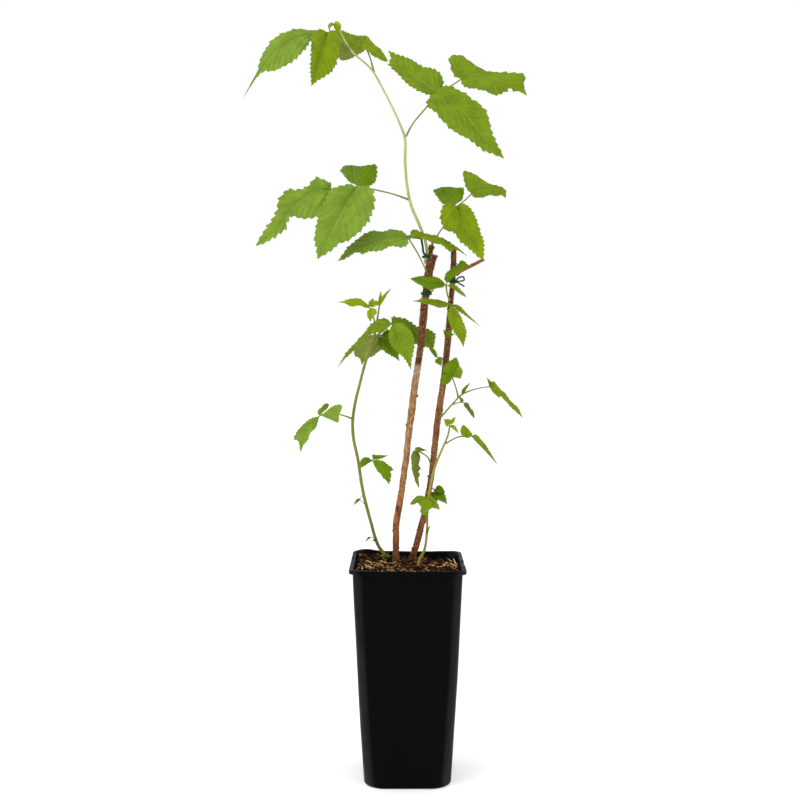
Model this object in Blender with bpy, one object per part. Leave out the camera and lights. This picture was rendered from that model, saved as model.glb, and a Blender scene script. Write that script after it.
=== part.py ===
"""A young raspberry plant in a deep square nursery pot.

Two brown, woody canes and two green shoots stand in the compost. A tall green shoot grows on
from the cut top of the left cane and carries the largest leaves. Each compound leaf is one thin
solid: its stalk and its three leaflets. Metres, +Z up, the origin under the middle of the pot,
on the surface that the pot stands on. The plant's front is towards -Y.
"""

import math

import bmesh
import bpy
from mathutils import Vector

# The pot, a deep square one of three litres
POT_HEIGHT = 0.247
RIM_WIDTH = 0.130
RIM_CORNER = 0.013
LIP_HEIGHT = 0.005
MOUTH_WIDTH = 0.122
MOUTH_CORNER = 0.010
FOOT_WIDTH = 0.0987
FOOT_CORNER = 0.024
BELLY = 0.0016
WALL = 0.002
FLOOR = 0.003
FOOT_CHAMFER = 0.0012
CORNER_STEPS = 3
DRAIN_RADIUS = 0.0045
DRAIN_OFFSET = 0.030

# The compost that fills it
SOIL_LEVEL = 0.2405
SOIL_PLATEAU = 0.088
SOIL_EDGE_RISE = 0.0035
SOIL_EDGE_FALL = 0.0065

# Fits between pieces, and the leaves' solids
GAP = 0.0003
STRAIGHT_FOOT = 0.004
STALK_RADIUS = 0.0009
PETIOLULE_RADIUS = 0.0007
KNUCKLE_RADIUS = 0.0015
BLADE_THICKNESS = 0.0014
LOBE = 0.12
SMALL_LEAFLET = 0.024
TINY_LEAFLET = 0.019
TIE_RADIUS = 0.0008

# The places below are measured as the plant is seen from the front: across and down, as on a
# sheet of 800 by 800 units, and then how far each lies behind the pot's axis, in millimetres.
# These are the eye's distance, height, sideways place, downward pitch and focal length.
EYE_DISTANCE = 1.267
EYE_HEIGHT = 0.483
EYE_SIDE = -0.0085
EYE_PITCH = math.radians(2.327)
EYE_FOCAL = 1111.1
SHEET_CENTRE = 400.0
MM = 0.001

COLOURS = {
    "black_plastic": ((0.012, 0.012, 0.013), 0.35),
    "compost": ((0.075, 0.036, 0.018), 0.95),
    "brown_bark": ((0.25, 0.10, 0.05), 0.8),
    "green_stem": ((0.42, 0.42, 0.12), 0.55),
    "leaf": ((0.20, 0.36, 0.03), 0.5),
    "young_leaf": ((0.36, 0.46, 0.03), 0.5),
    "green_twine": ((0.01, 0.09, 0.04), 0.8),
}

# Stems: each point is across, down, depth (mm) and radius (mm), from the foot up
STEMS = {
    "cane_left": [
        (396.0, 563, 10, 3.6), (396.0, 540, 10, 3.6), (396.5, 522, 10, 3.7), (400.3, 500, 10, 3.7),
        (403.0, 480, 9, 3.6), (406.0, 460, 9, 3.6), (408.5, 435, 8, 3.6), (411.8, 410, 8, 4.0),
        (414.5, 388, 8, 3.9), (417.2, 370, 8, 3.7), (420.8, 345, 8, 3.6), (423.0, 322, 8, 4.3),
        (424.8, 303, 8, 4.0), (427.0, 288, 7, 4.3), (429.3, 272, 5, 4.6), (434.2, 254.7, 0, 3.7),
    ],
    "cane_right": [
        (412.6, 561, 26, 3.5), (415.8, 547, 25, 3.6), (420.3, 530, 24, 3.6), (424.3, 515, 22, 3.4),
        (427.8, 495, 20, 3.3), (430.7, 480, 19, 3.4), (433.8, 455, 18, 3.6), (436.4, 430, 16, 3.6),
        (439.4, 408, 15, 3.7), (443.0, 385, 15, 3.6), (446.0, 360, 14, 3.6), (448.3, 335, 13, 3.6),
        (450.6, 305, 13, 2.9), (452.8, 280, 12, 2.9), (453.6, 262, 12, 3.3), (453.6, 249.5, 12, 3.0),
    ],
    "shoot_left_lower": [
        (385.0, 560, 30, 2.2), (378.0, 545, 29, 2.0), (370.3, 520, 27, 1.9), (362.7, 490, 23, 1.9),
        (358.0, 460, 18, 1.8), (353.0, 434, 14, 1.8), (352.7, 421, 12, 1.8),
    ],
    "shoot_left_upper": [
        (352.7, 421, 12, 1.8), (354.8, 405, 10, 1.7), (360.0, 383, 6, 1.6), (366.5, 359, 2, 1.5),
        (374.0, 339, -1, 1.3), (377.0, 321, -2, 1.0), (379.0, 308, -2, 0.8),
    ],
    "shoot_right": [
        (418.6, 566, -3, 1.6), (424.0, 551, -3, 1.5), (427.0, 530, -4, 1.3), (427.5, 510, -5, 1.3),
        (431.0, 482, -5, 1.3), (436.0, 464, -5, 1.3), (443.5, 446, -4, 1.2), (448.3, 434, -3, 1.0),
        (449.5, 427, -3, 0.9),
    ],
}

# Branches: the piece each grows on and where, then their further points in the same form
BRANCHES = {
    "cane_left_stub": ("cane_left", (429.0, 274), [
        (428.2, 266, 13.5, 3.0), (429.4, 257, 14.5, 3.0), (431.7, 245.3, 15, 3.0)]),
    "cane_right_twig": ("cane_right", (453.0, 278), [
        (459.0, 272.5, 11, 1.7), (470.0, 266.5, 9, 1.5), (484.0, 259.3, 6, 1.5)]),
    "shoot_tall_lower": ("cane_left_stub", (428.4, 264), [
        (425.4, 262.5, 9, 1.8), (427.0, 256, 8, 1.8), (426.6, 247, 6, 1.8), (424.0, 237, 3, 1.7),
        (419.0, 224, 0, 1.7), (411.0, 205, -3, 1.7), (407.0, 185, -4, 1.6), (405.2, 162, -5, 1.6)]),
    "lateral_right": ("cane_right", (437.6, 420), [
        (443.5, 414, 9, 1.2), (452.5, 404, 6, 1.0), (462.0, 394.5, 4, 0.9), (474.0, 389.5, 2, 0.7),
        (489.0, 386.6, 0, 0.6)]),
}

# The two long shoots are each two solids, one on the end of the other
CONTINUED = (("shoot_left_lower", "shoot_left_upper"), ("shoot_tall_lower", "shoot_tall_upper"))

TALL_UPPER = [
    (405.2, 162, -5, 1.6), (404.3, 136, -5, 1.5), (399.0, 122, -4, 1.2), (386.0, 95, -2, 1.1),
    (371.0, 69, 0, 1.1), (351.0, 50, 2, 1.0), (343.5, 38, 2, 0.9), (339.2, 29.5, 1, 0.9),
]


def blade(base, tip, width, turn=0, arch=2, fold=14, sweep=0):
    """One leaflet: base and tip, width (mm), turn about the midrib from facing front (degrees),
    arch and sideways sweep (mm), and how far its halves fold up (degrees)."""
    return {"base": base, "tip": tip, "width": width, "turn": turn,
            "arch": arch, "fold": fold, "sweep": sweep}


# Leaves: the stem each grows on, where it leaves it, its stalk's points, and its leaflets. A
# leaflet on a little stalk of its own has that stalk's points before it.
LEAVES = {
    "leaf_tip_left": ("shoot_tall_upper", (351, 50), [
        (344, 43, -5), (337, 37, -10), (328, 34, -15)], [
        ([(319, 33, -18), (311, 34, -20)],
         blade((310, 34, -20), (243.5, 97, -45), 44, turn=43, arch=13)),
        ([], blade((327, 35, -16), (311.5, 86, -50), 37, turn=-8, arch=4, sweep=5)),
        ([], blade((327, 34, -13), (308, 42, 30), 32, turn=85, arch=3, fold=8))]),
    "leaf_tip_right": ("shoot_tall_upper", (374.5, 75), [
        (370.5, 59, 6), (367, 50, 14), (364, 43, 17)], [
        ([], blade((362, 44, 18), (339, 57, 34), 36, turn=125, arch=3)),
        ([], blade((363, 46, 20), (341, 44, 62), 28, turn=108, arch=2)),
        ([], blade((365, 42, 16), (388, 61.5, 0), 30, turn=-66, arch=0))]),
    "leaf_upper_right": ("shoot_tall_upper", (404.6, 140), [
        (412, 125, -8), (425, 109, -12), (437.5, 94, -15)], [
        ([], blade((436, 92, -15), (388, 50.5, -4), 44, turn=38, arch=0)),
        ([], blade((438, 95, -17), (504, 158.5, -48), 60, turn=-35, arch=2)),
        ([(450, 86.5, -8), (460, 80, -2)],
         blade((461, 79, -2), (527, 94, 8), 46, turn=-32, arch=3, sweep=3))]),
    "leaf_middle_left": ("shoot_tall_lower", (408.2, 201), [
        (396, 195, -5), (376, 190, -9), (356, 187, -13)], [
        ([(343, 187, -16), (332, 189, -18)],
         blade((331, 189, -18), (255.5, 246, -42), 50, turn=35, arch=7)),
        ([], blade((356, 189, -15), (317.5, 259, -52), 64, turn=12, arch=5, sweep=4)),
        ([], blade((358, 186, -10), (359, 169, 52), 48, turn=0, arch=8, fold=6))]),
    "leaf_centre": ("cane_left", (428.6, 275), [(424, 266, -2), (418, 254, -9), (409, 239, -14)], [
        ([], blade((408, 238, -14), (338, 261, -32), 46, turn=56, arch=4)),
        ([], blade((410, 236, -14), (467, 256, -24), 30, turn=-62, arch=3)),
        ([], blade((408, 237, -12), (394, 239, 52), 40, turn=88, arch=3, fold=8))]),
    "leaf_middle_right": ("cane_left_stub", None, [(437, 236, 12), (446, 223, 6), (456, 207, -2)], [
        ([], blade((455, 205, -2), (448, 189, 44), 44, turn=0, arch=2)),
        ([], blade((457, 208, -5), (483.5, 259.5, -32), 46, turn=-14, arch=4, sweep=-10)),
        ([(464, 201, 1), (470.5, 195, 4)],
         blade((471.5, 192, 4), (506, 194, 14), 42, turn=-25, fold=34, arch=4, sweep=4))]),
    "leaf_tied": ("cane_right", (451, 303), [(447.5, 295, 3), (446, 285, -3)], [
        ([], blade((445, 284, -4), (410, 278.5, -20), 22, turn=48, arch=-1)),
        ([], blade((446, 282, -4), (468, 263, -4), 22, turn=-48, arch=0)),
        ([], blade((448, 286.4, -5), (466.5, 297, -16), 10, turn=-58, arch=1))]),
    "leaf_right_cane": ("cane_right", (450.3, 307), [(450.5, 304, 2)], [
        ([], blade((449, 303.5, 1), (412.5, 301, -18), 18, turn=64, arch=-1)),
        ([], blade((452, 306, 0), (463.5, 347, -14), 20, turn=-15, arch=2)),
        ([], blade((453, 304.5, 2), (480, 326, 0), 9, turn=-62, arch=1))]),
    "leaf_lateral": ("lateral_right", (458, 398), [(456, 388, 2), (452.5, 378, -1)], [
        ([], blade((452.3, 376.5, -1), (456, 356, 2), 20, turn=8, arch=1)),
        ([], blade((453.5, 377.5, -2), (463.5, 374.5, -10), 15, turn=-20, arch=1)),
        ([], blade((451.3, 378.5, -2), (440, 384, -12), 17, turn=15, arch=1))]),
    "leaf_lateral_tip": ("lateral_right", None, [(491, 386.3, 0)], [
        ([], blade((490.5, 385.5, -1), (486.5, 377.5, -12), 8, turn=25, arch=1)),
        ([], blade((492.5, 386.5, -1), (500.5, 397, -10), 14, turn=-45, arch=1)),
        ([(499, 389, 0)], blade((499.5, 390.5, 0), (523, 418, -8), 13, turn=-56, arch=0, sweep=-4))]),
    "leaf_lateral_low": ("lateral_right", (451, 405.6), [(457, 403, 2), (463, 402, -2)], [
        ([], blade((464, 402.5, -2), (474.5, 418.5, -10), 10, turn=-50, arch=2)),
        ([], blade((462.5, 401.5, -2), (459.5, 396.5, -10), 4, turn=0, arch=0))]),
    "leaf_shoot_right": ("shoot_right", (444.2, 444.5), [
        (450, 441, -6), (458, 437, -7), (468, 436, -8)], [
        ([], blade((467.5, 437, -8), (463, 424.5, -18), 13, turn=10, arch=1)),
        ([(471, 435.5, -8)], blade((472, 435.5, -8), (497.5, 464.5, -16), 13, turn=-62, arch=1)),
        ([], blade((468.5, 437, -6), (467, 431, 10), 10, turn=0, arch=1))]),
    "leaf_low_centre": ("cane_right", (431.3, 466), [(428, 457.5, 12), (422, 453, 8), (415, 450, 5)], [
        ([], blade((416, 450, 6), (427, 450.5, 16), 10, turn=-70, arch=1)),
        ([], blade((414.3, 451, 4), (419, 488.5, -4), 20, turn=52, fold=20, arch=2, sweep=3)),
        ([], blade((415.8, 450.5, 7), (419, 462, 24), 10, turn=30, arch=2))]),
    "leaf_low_right": ("shoot_right", (428.3, 500), [(427.5, 498.5, -10)], [
        ([], blade((426.3, 499.3, -10), (410, 506, -20), 15, turn=48, arch=2)),
        ([], blade((427, 500, -11), (424.5, 515, -26), 19, turn=0, arch=1)),
        ([], blade((429, 499, -10), (440, 510.5, -18), 14, turn=-38, arch=1))]),
    "leaf_low_back": ("cane_right", (428.2, 489), [(431.5, 487.5, 26), (434.5, 490, 28)], [
        ([], blade((435.2, 488.5, 28), (445.5, 492.5, 22), 11, turn=-35, arch=1)),
        ([], blade((435, 491.5, 28), (447.5, 504.3, 18), 14, turn=-30, arch=1)),
        ([], blade((434, 492, 28), (433, 508, 26), 12, turn=10, arch=1))]),
    "leaf_left_young": ("shoot_left_upper", (376, 328), [(374, 319, -7), (371, 309, -9)], [
        ([], blade((371.3, 306.5, -9), (372.7, 298.5, -18), 11, turn=0, arch=1)),
        ([], blade((369.7, 307, -9), (339, 302, -18), 18, turn=55, arch=3)),
        ([], blade((371, 309.5, -10), (370.3, 322, -18), 12, turn=0, arch=1))]),
    "leaf_left_tip": ("shoot_left_upper", None, [(379.6, 305.5, -2)], [
        ([], blade((380.3, 304.5, -2), (391, 288.5, -6), 9, turn=-60, fold=25, arch=1)),
        ([], blade((379.8, 304, -1), (381, 291, 4), 5, turn=40, arch=0)),
        ([], blade((379, 304.8, -2), (375.5, 300.5, 5), 6, turn=0, arch=0))]),
    "leaf_left_upper": ("shoot_left_upper", (375, 336.5), [
        (380.5, 333, -8), (387, 327, -12), (391.5, 323.5, -14)], [
        ([], blade((390.3, 323, -14), (338, 366.5, -32), 24, turn=58, arch=2)),
        ([], blade((392, 325.5, -15), (411, 369.5, -30), 38, turn=-12, arch=3, sweep=-3)),
        ([], blade((393, 328, -13), (434, 351, 56), 36, turn=-20, arch=0))]),
    "leaf_left_under": ("shoot_left_upper", (374.2, 338.5), [(377.5, 336, 6), (381, 335, 9)], [
        ([], blade((380.4, 336.5, 8), (361.5, 365, 9), 34, turn=168, arch=2)),
        ([], blade((382, 334.5, 10), (391, 342, 30), 18, turn=-20, arch=2)),
        ([], blade((382, 336.5, 9), (399.5, 361, 4), 22, turn=-25, arch=1))]),
    "leaf_left_middle": ("shoot_left_upper", (353, 418.5), [
        (345, 416, 4), (333, 413.3, -4), (320.5, 415, -9)], [
        ([], blade((319, 417, -10), (300.5, 452.5, -26), 24, turn=25, arch=3, sweep=-4)),
        ([], blade((321.5, 415.7, -10), (344, 414, -34), 28, turn=-12, arch=2)),
        ([], blade((319.5, 414, -8), (329, 403, 10), 15, turn=-30, arch=2))]),
    "leaf_left_low": ("shoot_left_lower", (358.8, 466), [(364, 463, 13), (372.5, 460, 8)], [
        ([], blade((371, 462, 7), (358, 467.5, -8), 14, turn=30, arch=1)),
        ([], blade((373.8, 459, 8), (388, 456.5, 18), 12, turn=-66, arch=0)),
        ([], blade((374.5, 461.5, 7), (390.5, 484.5, -6), 24, turn=-25, arch=2, sweep=3))]),
    "leaf_between": ("cane_right", (446.2, 359), [(440, 357.5, 12), (437.5, 357.5, 9)], [
        ([], blade((436.5, 357, 9), (425, 342, 8), 11, turn=45, arch=1)),
        ([], blade((438, 359, 8), (436, 369, 0), 10, turn=10, arch=1))]),
    "leaf_shoot_right_tip": ("shoot_right", None, [(449.8, 424.8, -3)], [
        ([], blade((449, 424.3, -4), (443.5, 419, -9), 9, turn=20, arch=1)),
        ([], blade((450.3, 423.8, -3), (455.5, 416.5, 2), 6, turn=-40, arch=0)),
        ([], blade((450.6, 425.3, -4), (458.5, 433.5, -9), 7, turn=-50, arch=1))]),
}

YOUNG = {"leaf_left_young", "leaf_left_tip", "leaf_shoot_right_tip"}

# Ties of soft twine: the middle of each, and its half-widths across and front to back (mm)
TIES = {
    "tie_tall_shoot": ((428.2, 257.0, 11.8), 6.3, 8.2),
    "tie_cane_left": ((426.3, 293.5, 7.5), 5.6, 5.6),
    "tie_cane_right": ((452.9, 281.5, 12.0), 4.3, 4.3),
}


def place(across, down, depth):
    """The point that is seen at (across, down) on the front sheet, depth mm behind the axis."""
    side = (across - SHEET_CENTRE) / EYE_FOCAL
    up = (SHEET_CENTRE - down) / EYE_FOCAL
    ray = Vector((side,
                  math.cos(EYE_PITCH) + up * math.sin(EYE_PITCH),
                  up * math.cos(EYE_PITCH) - math.sin(EYE_PITCH)))
    eye = Vector((EYE_SIDE, -EYE_DISTANCE, EYE_HEIGHT))
    return eye + ray * ((depth * MM + EYE_DISTANCE) / ray.y)


def clear_scene():
    for old in list(bpy.data.objects):
        bpy.data.objects.remove(old, do_unlink=True)


def new_collection(name):
    collection = bpy.data.collections.new(name)
    bpy.context.scene.collection.children.link(collection)
    return collection


def material(name):
    colour, roughness = COLOURS[name]
    made = bpy.data.materials.new(name)
    made.use_nodes = True
    shader = made.node_tree.nodes["Principled BSDF"]
    shader.inputs["Base Color"].default_value = (*colour, 1.0)
    shader.inputs["Roughness"].default_value = roughness
    return made


def add_object(name, data, finish, collection):
    data.materials.clear()
    data.materials.append(finish)
    made = bpy.data.objects.new(name, data)
    collection.objects.link(made)
    return made


def mesh_from(bm, name):
    bmesh.ops.recalc_face_normals(bm, faces=bm.faces)
    mesh = bpy.data.meshes.new(name)
    bm.to_mesh(mesh)
    bm.free()
    return mesh


def tube_curve(name, path, resolution):
    """A round limb of changing radius, as a bevelled curve through the path."""
    curve = bpy.data.curves.new(name, "CURVE")
    curve.dimensions = "3D"
    curve.bevel_depth = path[0][1]
    curve.bevel_resolution = resolution
    curve.use_fill_caps = True
    spline = curve.splines.new("POLY")
    spline.points.add(len(path) - 1)
    for point, (where, radius) in zip(spline.points, path):
        point.co = (*where, 1.0)
        point.radius = radius / path[0][1]
    return curve


def tube_mesh(name, path, resolution):
    """The same limb as a closed mesh, so that it can be joined to others."""
    carrier = bpy.data.objects.new(name, tube_curve(name, path, resolution))
    bpy.context.scene.collection.objects.link(carrier)
    graph = bpy.context.evaluated_depsgraph_get()
    mesh = bpy.data.meshes.new_from_object(carrier.evaluated_get(graph))
    bpy.data.objects.remove(carrier, do_unlink=True)
    bm = bmesh.new()
    bm.from_mesh(mesh)
    bmesh.ops.remove_doubles(bm, verts=bm.verts, dist=0.00001)
    bmesh.ops.triangulate(bm, faces=bm.faces)
    return mesh_from(bm, name)


def rounded_square(width, corner, height):
    """Points round a square with round corners, the same number for every size."""
    inner = width / 2 - corner
    points = []
    for quarter in range(4):
        middle = math.radians(45 + 90 * quarter)
        across, along = math.cos(middle), math.sin(middle)
        centre = Vector((math.copysign(inner, across), math.copysign(inner, along), height))
        for step in range(CORNER_STEPS + 1):
            angle = math.radians(90 * quarter + 90 * step / CORNER_STEPS)
            points.append(centre + corner * Vector((math.cos(angle), math.sin(angle), 0)))
    return points


def loft(rings, name):
    """A closed solid through rings of the same number of points, capped at both ends."""
    bm = bmesh.new()
    rows = [[bm.verts.new(p) for p in ring] for ring in rings]
    for low, high in zip(rows, rows[1:]):
        for i in range(len(low)):
            j = (i + 1) % len(low)
            bm.faces.new((low[i], low[j], high[j], high[i]))
    bm.faces.new(list(reversed(rows[0])))
    bm.faces.new(rows[-1])
    return mesh_from(bm, name)


def body_section(height):
    """The pot's outer width and corner radius at a height: a taper with a slight belly."""
    share = height / POT_HEIGHT
    width = FOOT_WIDTH + (MOUTH_WIDTH - FOOT_WIDTH) * share + BELLY * math.sin(math.pi * share)
    return width, FOOT_CORNER + (MOUTH_CORNER - FOOT_CORNER) * share


def make_pot(finish, parts, cutters):
    lip_base = POT_HEIGHT - LIP_HEIGHT
    heights = [lip_base * share for share in (0.25, 0.5, 0.75)]
    rings = [rounded_square(FOOT_WIDTH - 2 * FOOT_CHAMFER, FOOT_CORNER - FOOT_CHAMFER, 0)]
    rings.append(rounded_square(FOOT_WIDTH, FOOT_CORNER, FOOT_CHAMFER))
    for height in heights + [lip_base]:
        rings.append(rounded_square(*body_section(height), height))
    rings.append(rounded_square(RIM_WIDTH, RIM_CORNER, lip_base))
    rings.append(rounded_square(RIM_WIDTH, RIM_CORNER, POT_HEIGHT - FOOT_CHAMFER))
    rings.append(rounded_square(RIM_WIDTH - 2 * FOOT_CHAMFER, RIM_CORNER - FOOT_CHAMFER, POT_HEIGHT))
    for height in [POT_HEIGHT, lip_base] + heights[::-1] + [FLOOR]:
        width, corner = body_section(height)
        rings.append(rounded_square(width - 2 * WALL, corner - WALL, height))
    pot = add_object("pot", loft(rings, "pot"), finish, parts)
    for x in (-DRAIN_OFFSET, DRAIN_OFFSET):
        for y in (-DRAIN_OFFSET, DRAIN_OFFSET):
            bm = bmesh.new()
            bmesh.ops.create_cone(bm, cap_ends=True, segments=12, radius1=DRAIN_RADIUS,
                                  radius2=DRAIN_RADIUS, depth=4 * FLOOR)
            cutter = bpy.data.objects.new("drain_cutter", mesh_from(bm, "drain_cutter"))
            cutter.location = (x, y, 0)
            cutter.hide_render = True
            cutter.display_type = "WIRE"
            cutters.objects.link(cutter)
            cut = pot.modifiers.new("drain", "BOOLEAN")
            cut.operation = "DIFFERENCE"
            cut.object = cutter


def make_compost(finish, parts):
    """A plug of compost, level round the stems, and higher or lower along the pot's walls."""
    rings = []
    for height in (FLOOR + GAP, SOIL_LEVEL / 2, SOIL_LEVEL - SOIL_EDGE_FALL - 0.001):
        width, corner = body_section(height)
        rings.append(rounded_square(width - 2 * (WALL + GAP), corner - WALL - GAP, height))
    width, corner = body_section(SOIL_LEVEL)
    edge = rounded_square(width - 2 * (WALL + GAP) - 0.0004, corner - WALL - GAP, SOIL_LEVEL)
    for point in edge:
        slope = (point.x - point.y) / width
        point.z -= SOIL_EDGE_FALL * max(slope, 0) + SOIL_EDGE_RISE * min(slope, 0)
    rings.append(edge)
    rings.append(rounded_square(SOIL_PLATEAU, 2 * MOUTH_CORNER, SOIL_LEVEL))
    add_object("compost", loft(rings, "compost"), finish, parts)


def stem_path(rows):
    """A stem's path: each point in the part's frame, with the radius there."""
    return [(place(across, down, depth), radius * MM) for across, down, depth, radius in rows]


def planted_path(rows):
    """A stem's path that starts with a level cut on the compost."""
    path = stem_path(rows)
    low, radius = path[0]
    foot = Vector((low.x, low.y, SOIL_LEVEL + GAP))
    low.z = foot.z + STRAIGHT_FOOT
    return [(foot, radius)] + path


def nearest(path, spot):
    """The point of a path nearest to a spot of the sheet, its radius and the path's direction."""
    best = None
    for (start, r0), (end, r1) in zip(path, path[1:]):
        for step in range(9):
            share = step / 8
            where = start.lerp(end, share)
            target = place(*spot, where.y / MM)
            distance = (where - target).length
            if best is None or distance < best[0]:
                best = (distance, where, r0 + (r1 - r0) * share, (end - start).normalized())
    return best[1:]


def seated_start(path, spot, onward, radius):
    """Where a side shoot begins: clear of its carrier by the gap, on the line to onward."""
    if spot is None:
        tip, before = path[-1][0], path[-2][0]
        along = (tip - before).normalized()
        lean = along.cross((onward - tip).normalized()).length
        return tip + along * (GAP + radius * lean)
    where, carrier_radius, along = nearest(path, spot)
    direction = (onward - where).normalized()
    lean = abs(direction.dot(along))
    rise = max(math.sqrt(1 - lean * lean), 0.3)
    return where + direction * ((carrier_radius + GAP + radius * lean) / rise)


def joined(parts):
    """One mesh object from several closed ones, by union; the pieces are used up."""
    whole = parts[0]
    for piece in parts[1:]:
        union = whole.modifiers.new("union", "BOOLEAN")
        union.operation = "UNION"
        union.solver = "MANIFOLD"
        union.object = piece
        graph = bpy.context.evaluated_depsgraph_get()
        mesh = bpy.data.meshes.new_from_object(whole.evaluated_get(graph))
        whole.modifiers.clear()
        whole.data = mesh
        bpy.data.objects.remove(piece, do_unlink=True)
    return whole


def outline(share):
    """Half-width of a leaflet along its midrib, as a share of the greatest: an oval that is
    round at the base and drawn out at the tip."""
    return math.sin(math.pi * share ** 0.75) ** 0.8 * (1 - 0.35 * share ** 3)


def blade_mesh(leaflet, root, name):
    """A leaflet's solid: a thin plate along an arched midrib, its halves folded up. It starts as
    a narrow foot at the root, where it meets its stalk."""
    base, tip = place(*leaflet["base"]), place(*leaflet["tip"])
    axis = (tip - base).normalized()
    front = Vector((0, -1, 0))
    facing = (front - axis * front.dot(axis)).normalized()
    turn = math.radians(leaflet["turn"])
    face = facing * math.cos(turn) + axis.cross(front).normalized() * math.sin(turn)
    side = face.cross(axis)
    length = (tip - base).length
    shares = (0.08, 0.25, 0.5, 0.78, 1)
    if length < SMALL_LEAFLET:
        shares = (0.15, 0.5, 1)
    if length < TINY_LEAFLET:
        shares = (0.3, 1)
    fold = math.radians(leaflet["fold"])
    half = leaflet["width"] * MM / 2
    upper = face * (BLADE_THICKNESS / 2)
    sections = [(root, side * PETIOLULE_RADIUS, Vector((0, 0, 0)))]
    for share in shares:
        bow = 4 * share * (1 - share)
        middle = base.lerp(tip, share) + face * (leaflet["arch"] * MM * bow)
        middle += side * (leaflet["sweep"] * MM * bow)
        reach = max(half * outline(share), 0.0004)
        rise = face * (reach * math.sin(fold))
        edge = rise - axis * (length * LOBE * (1 - share) * outline(share))
        sections.append((middle - rise / 2, side * (reach * math.cos(fold)), edge))
    bm = bmesh.new()
    rows = []
    for middle, out, edge in sections:
        row = [middle - out + edge + upper, middle + upper, middle + out + edge + upper,
               middle + out + edge - upper, middle - upper, middle - out + edge - upper]
        rows.append([bm.verts.new(p) for p in row])
    for low, high in zip(rows, rows[1:]):
        for i in range(6):
            j = (i + 1) % 6
            bm.faces.new((low[i], low[j], high[j], high[i]))
    for row in (rows[0], rows[-1]):
        bm.faces.new((row[0], row[1], row[4], row[5]))
        bm.faces.new((row[1], row[2], row[3], row[4]))
    bmesh.ops.triangulate(bm, faces=bm.faces)
    return mesh_from(bm, name)


def knuckle_mesh(where, name):
    """The small swelling where the leaflets meet the stalk."""
    bm = bmesh.new()
    bmesh.ops.create_uvsphere(bm, u_segments=5, v_segments=3, radius=KNUCKLE_RADIUS)
    bmesh.ops.translate(bm, verts=bm.verts, vec=where)
    return mesh_from(bm, name)


def make_leaf(name, carrier_path, spot, stalk, leaflets, finish, parts):
    stalk_points = [place(*p) for p in stalk]
    start = seated_start(carrier_path, spot, stalk_points[0], STALK_RADIUS)
    path = [(p, STALK_RADIUS) for p in [start] + stalk_points]
    meshes = [tube_mesh(name, path, 0), knuckle_mesh(stalk_points[-1], name)]
    for own_stalk, leaflet in leaflets:
        root = stalk_points[-1]
        if own_stalk:
            line = [root] + [place(*p) for p in own_stalk]
            meshes.append(tube_mesh(name, [(p, STALK_RADIUS) for p in line], 0))
            root = line[-1] + (line[-2] - line[-1]).normalized() * (2 * STALK_RADIUS)
        meshes.append(blade_mesh(leaflet, root, name))
    pieces = [add_object(name, mesh, finish, parts) for mesh in meshes]
    whole = joined(pieces)
    whole.name = name


def make_tie(name, centre, half_across, half_deep, finish, parts):
    bpy.ops.mesh.primitive_torus_add(major_segments=12, minor_segments=4, major_radius=1,
                                     minor_radius=TIE_RADIUS)
    ring = bpy.context.object
    for vertex in ring.data.vertices:
        flat = Vector((vertex.co.x, vertex.co.y, 0)).normalized()
        outward = vertex.co - flat
        vertex.co = Vector((flat.x * half_across * MM, flat.y * half_deep * MM, 0)) + outward
        vertex.co += place(*centre)
    mesh = ring.data
    bpy.data.objects.remove(ring, do_unlink=True)
    add_object(name, mesh, finish, parts)


def make_bud(path, finish, parts):
    """The curled bud at the very top of the tall shoot."""
    tip, before = path[-1][0], path[-2][0]
    along = (tip - before).normalized()
    bm = bmesh.new()
    bmesh.ops.create_uvsphere(bm, u_segments=10, v_segments=6, radius=1)
    spread = Vector((0.0052, 0.0045, 0.0046))
    centre = tip + Vector((-0.0032, 0, 0.0038)) + along * GAP
    for vertex in bm.verts:
        vertex.co = centre + Vector(a * b for a, b in zip(vertex.co, spread))
    add_object("tip_bud", mesh_from(bm, "tip_bud"), finish, parts)


def main():
    clear_scene()
    parts = new_collection("raspberry_in_pot")
    cutters = new_collection("cutters")
    finishes = {name: material(name) for name in COLOURS}
    make_pot(finishes["black_plastic"], parts, cutters)
    make_compost(finishes["compost"], parts)
    paths = {name: planted_path(rows) for name, rows in STEMS.items() if name != "shoot_left_upper"}
    paths["shoot_left_upper"] = stem_path(STEMS["shoot_left_upper"])
    for name, (carrier, spot, rows) in BRANCHES.items():
        path = stem_path(rows)
        onward, radius = path[0]
        start = seated_start(paths[carrier], spot, onward, radius)
        paths[name] = [(start, radius)] + path
    paths["shoot_tall_upper"] = stem_path(TALL_UPPER)
    for lower, upper in CONTINUED:
        end, before = paths[lower][-1][0], paths[lower][-2][0]
        paths[upper][0] = (end + (end - before).normalized() * GAP, paths[lower][-1][1])
    for name, path in paths.items():
        bark = name.startswith("cane")
        finish = finishes["brown_bark" if bark else "green_stem"]
        add_object(name, tube_curve(name, path, 2 if bark else 1), finish, parts)
    for name, (carrier, spot, stalk, leaflets) in LEAVES.items():
        finish = finishes["young_leaf" if name in YOUNG else "leaf"]
        make_leaf(name, paths[carrier], spot, stalk, leaflets, finish, parts)
    make_bud(paths["shoot_tall_upper"], finishes["young_leaf"], parts)
    for name, (centre, half_across, half_deep) in TIES.items():
        make_tie(name, centre, half_across, half_deep, finishes["green_twine"], parts)


main()
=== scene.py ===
import math
import random

import bpy
import numpy as np
from mathutils import Euler, Matrix, Vector, noise


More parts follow.
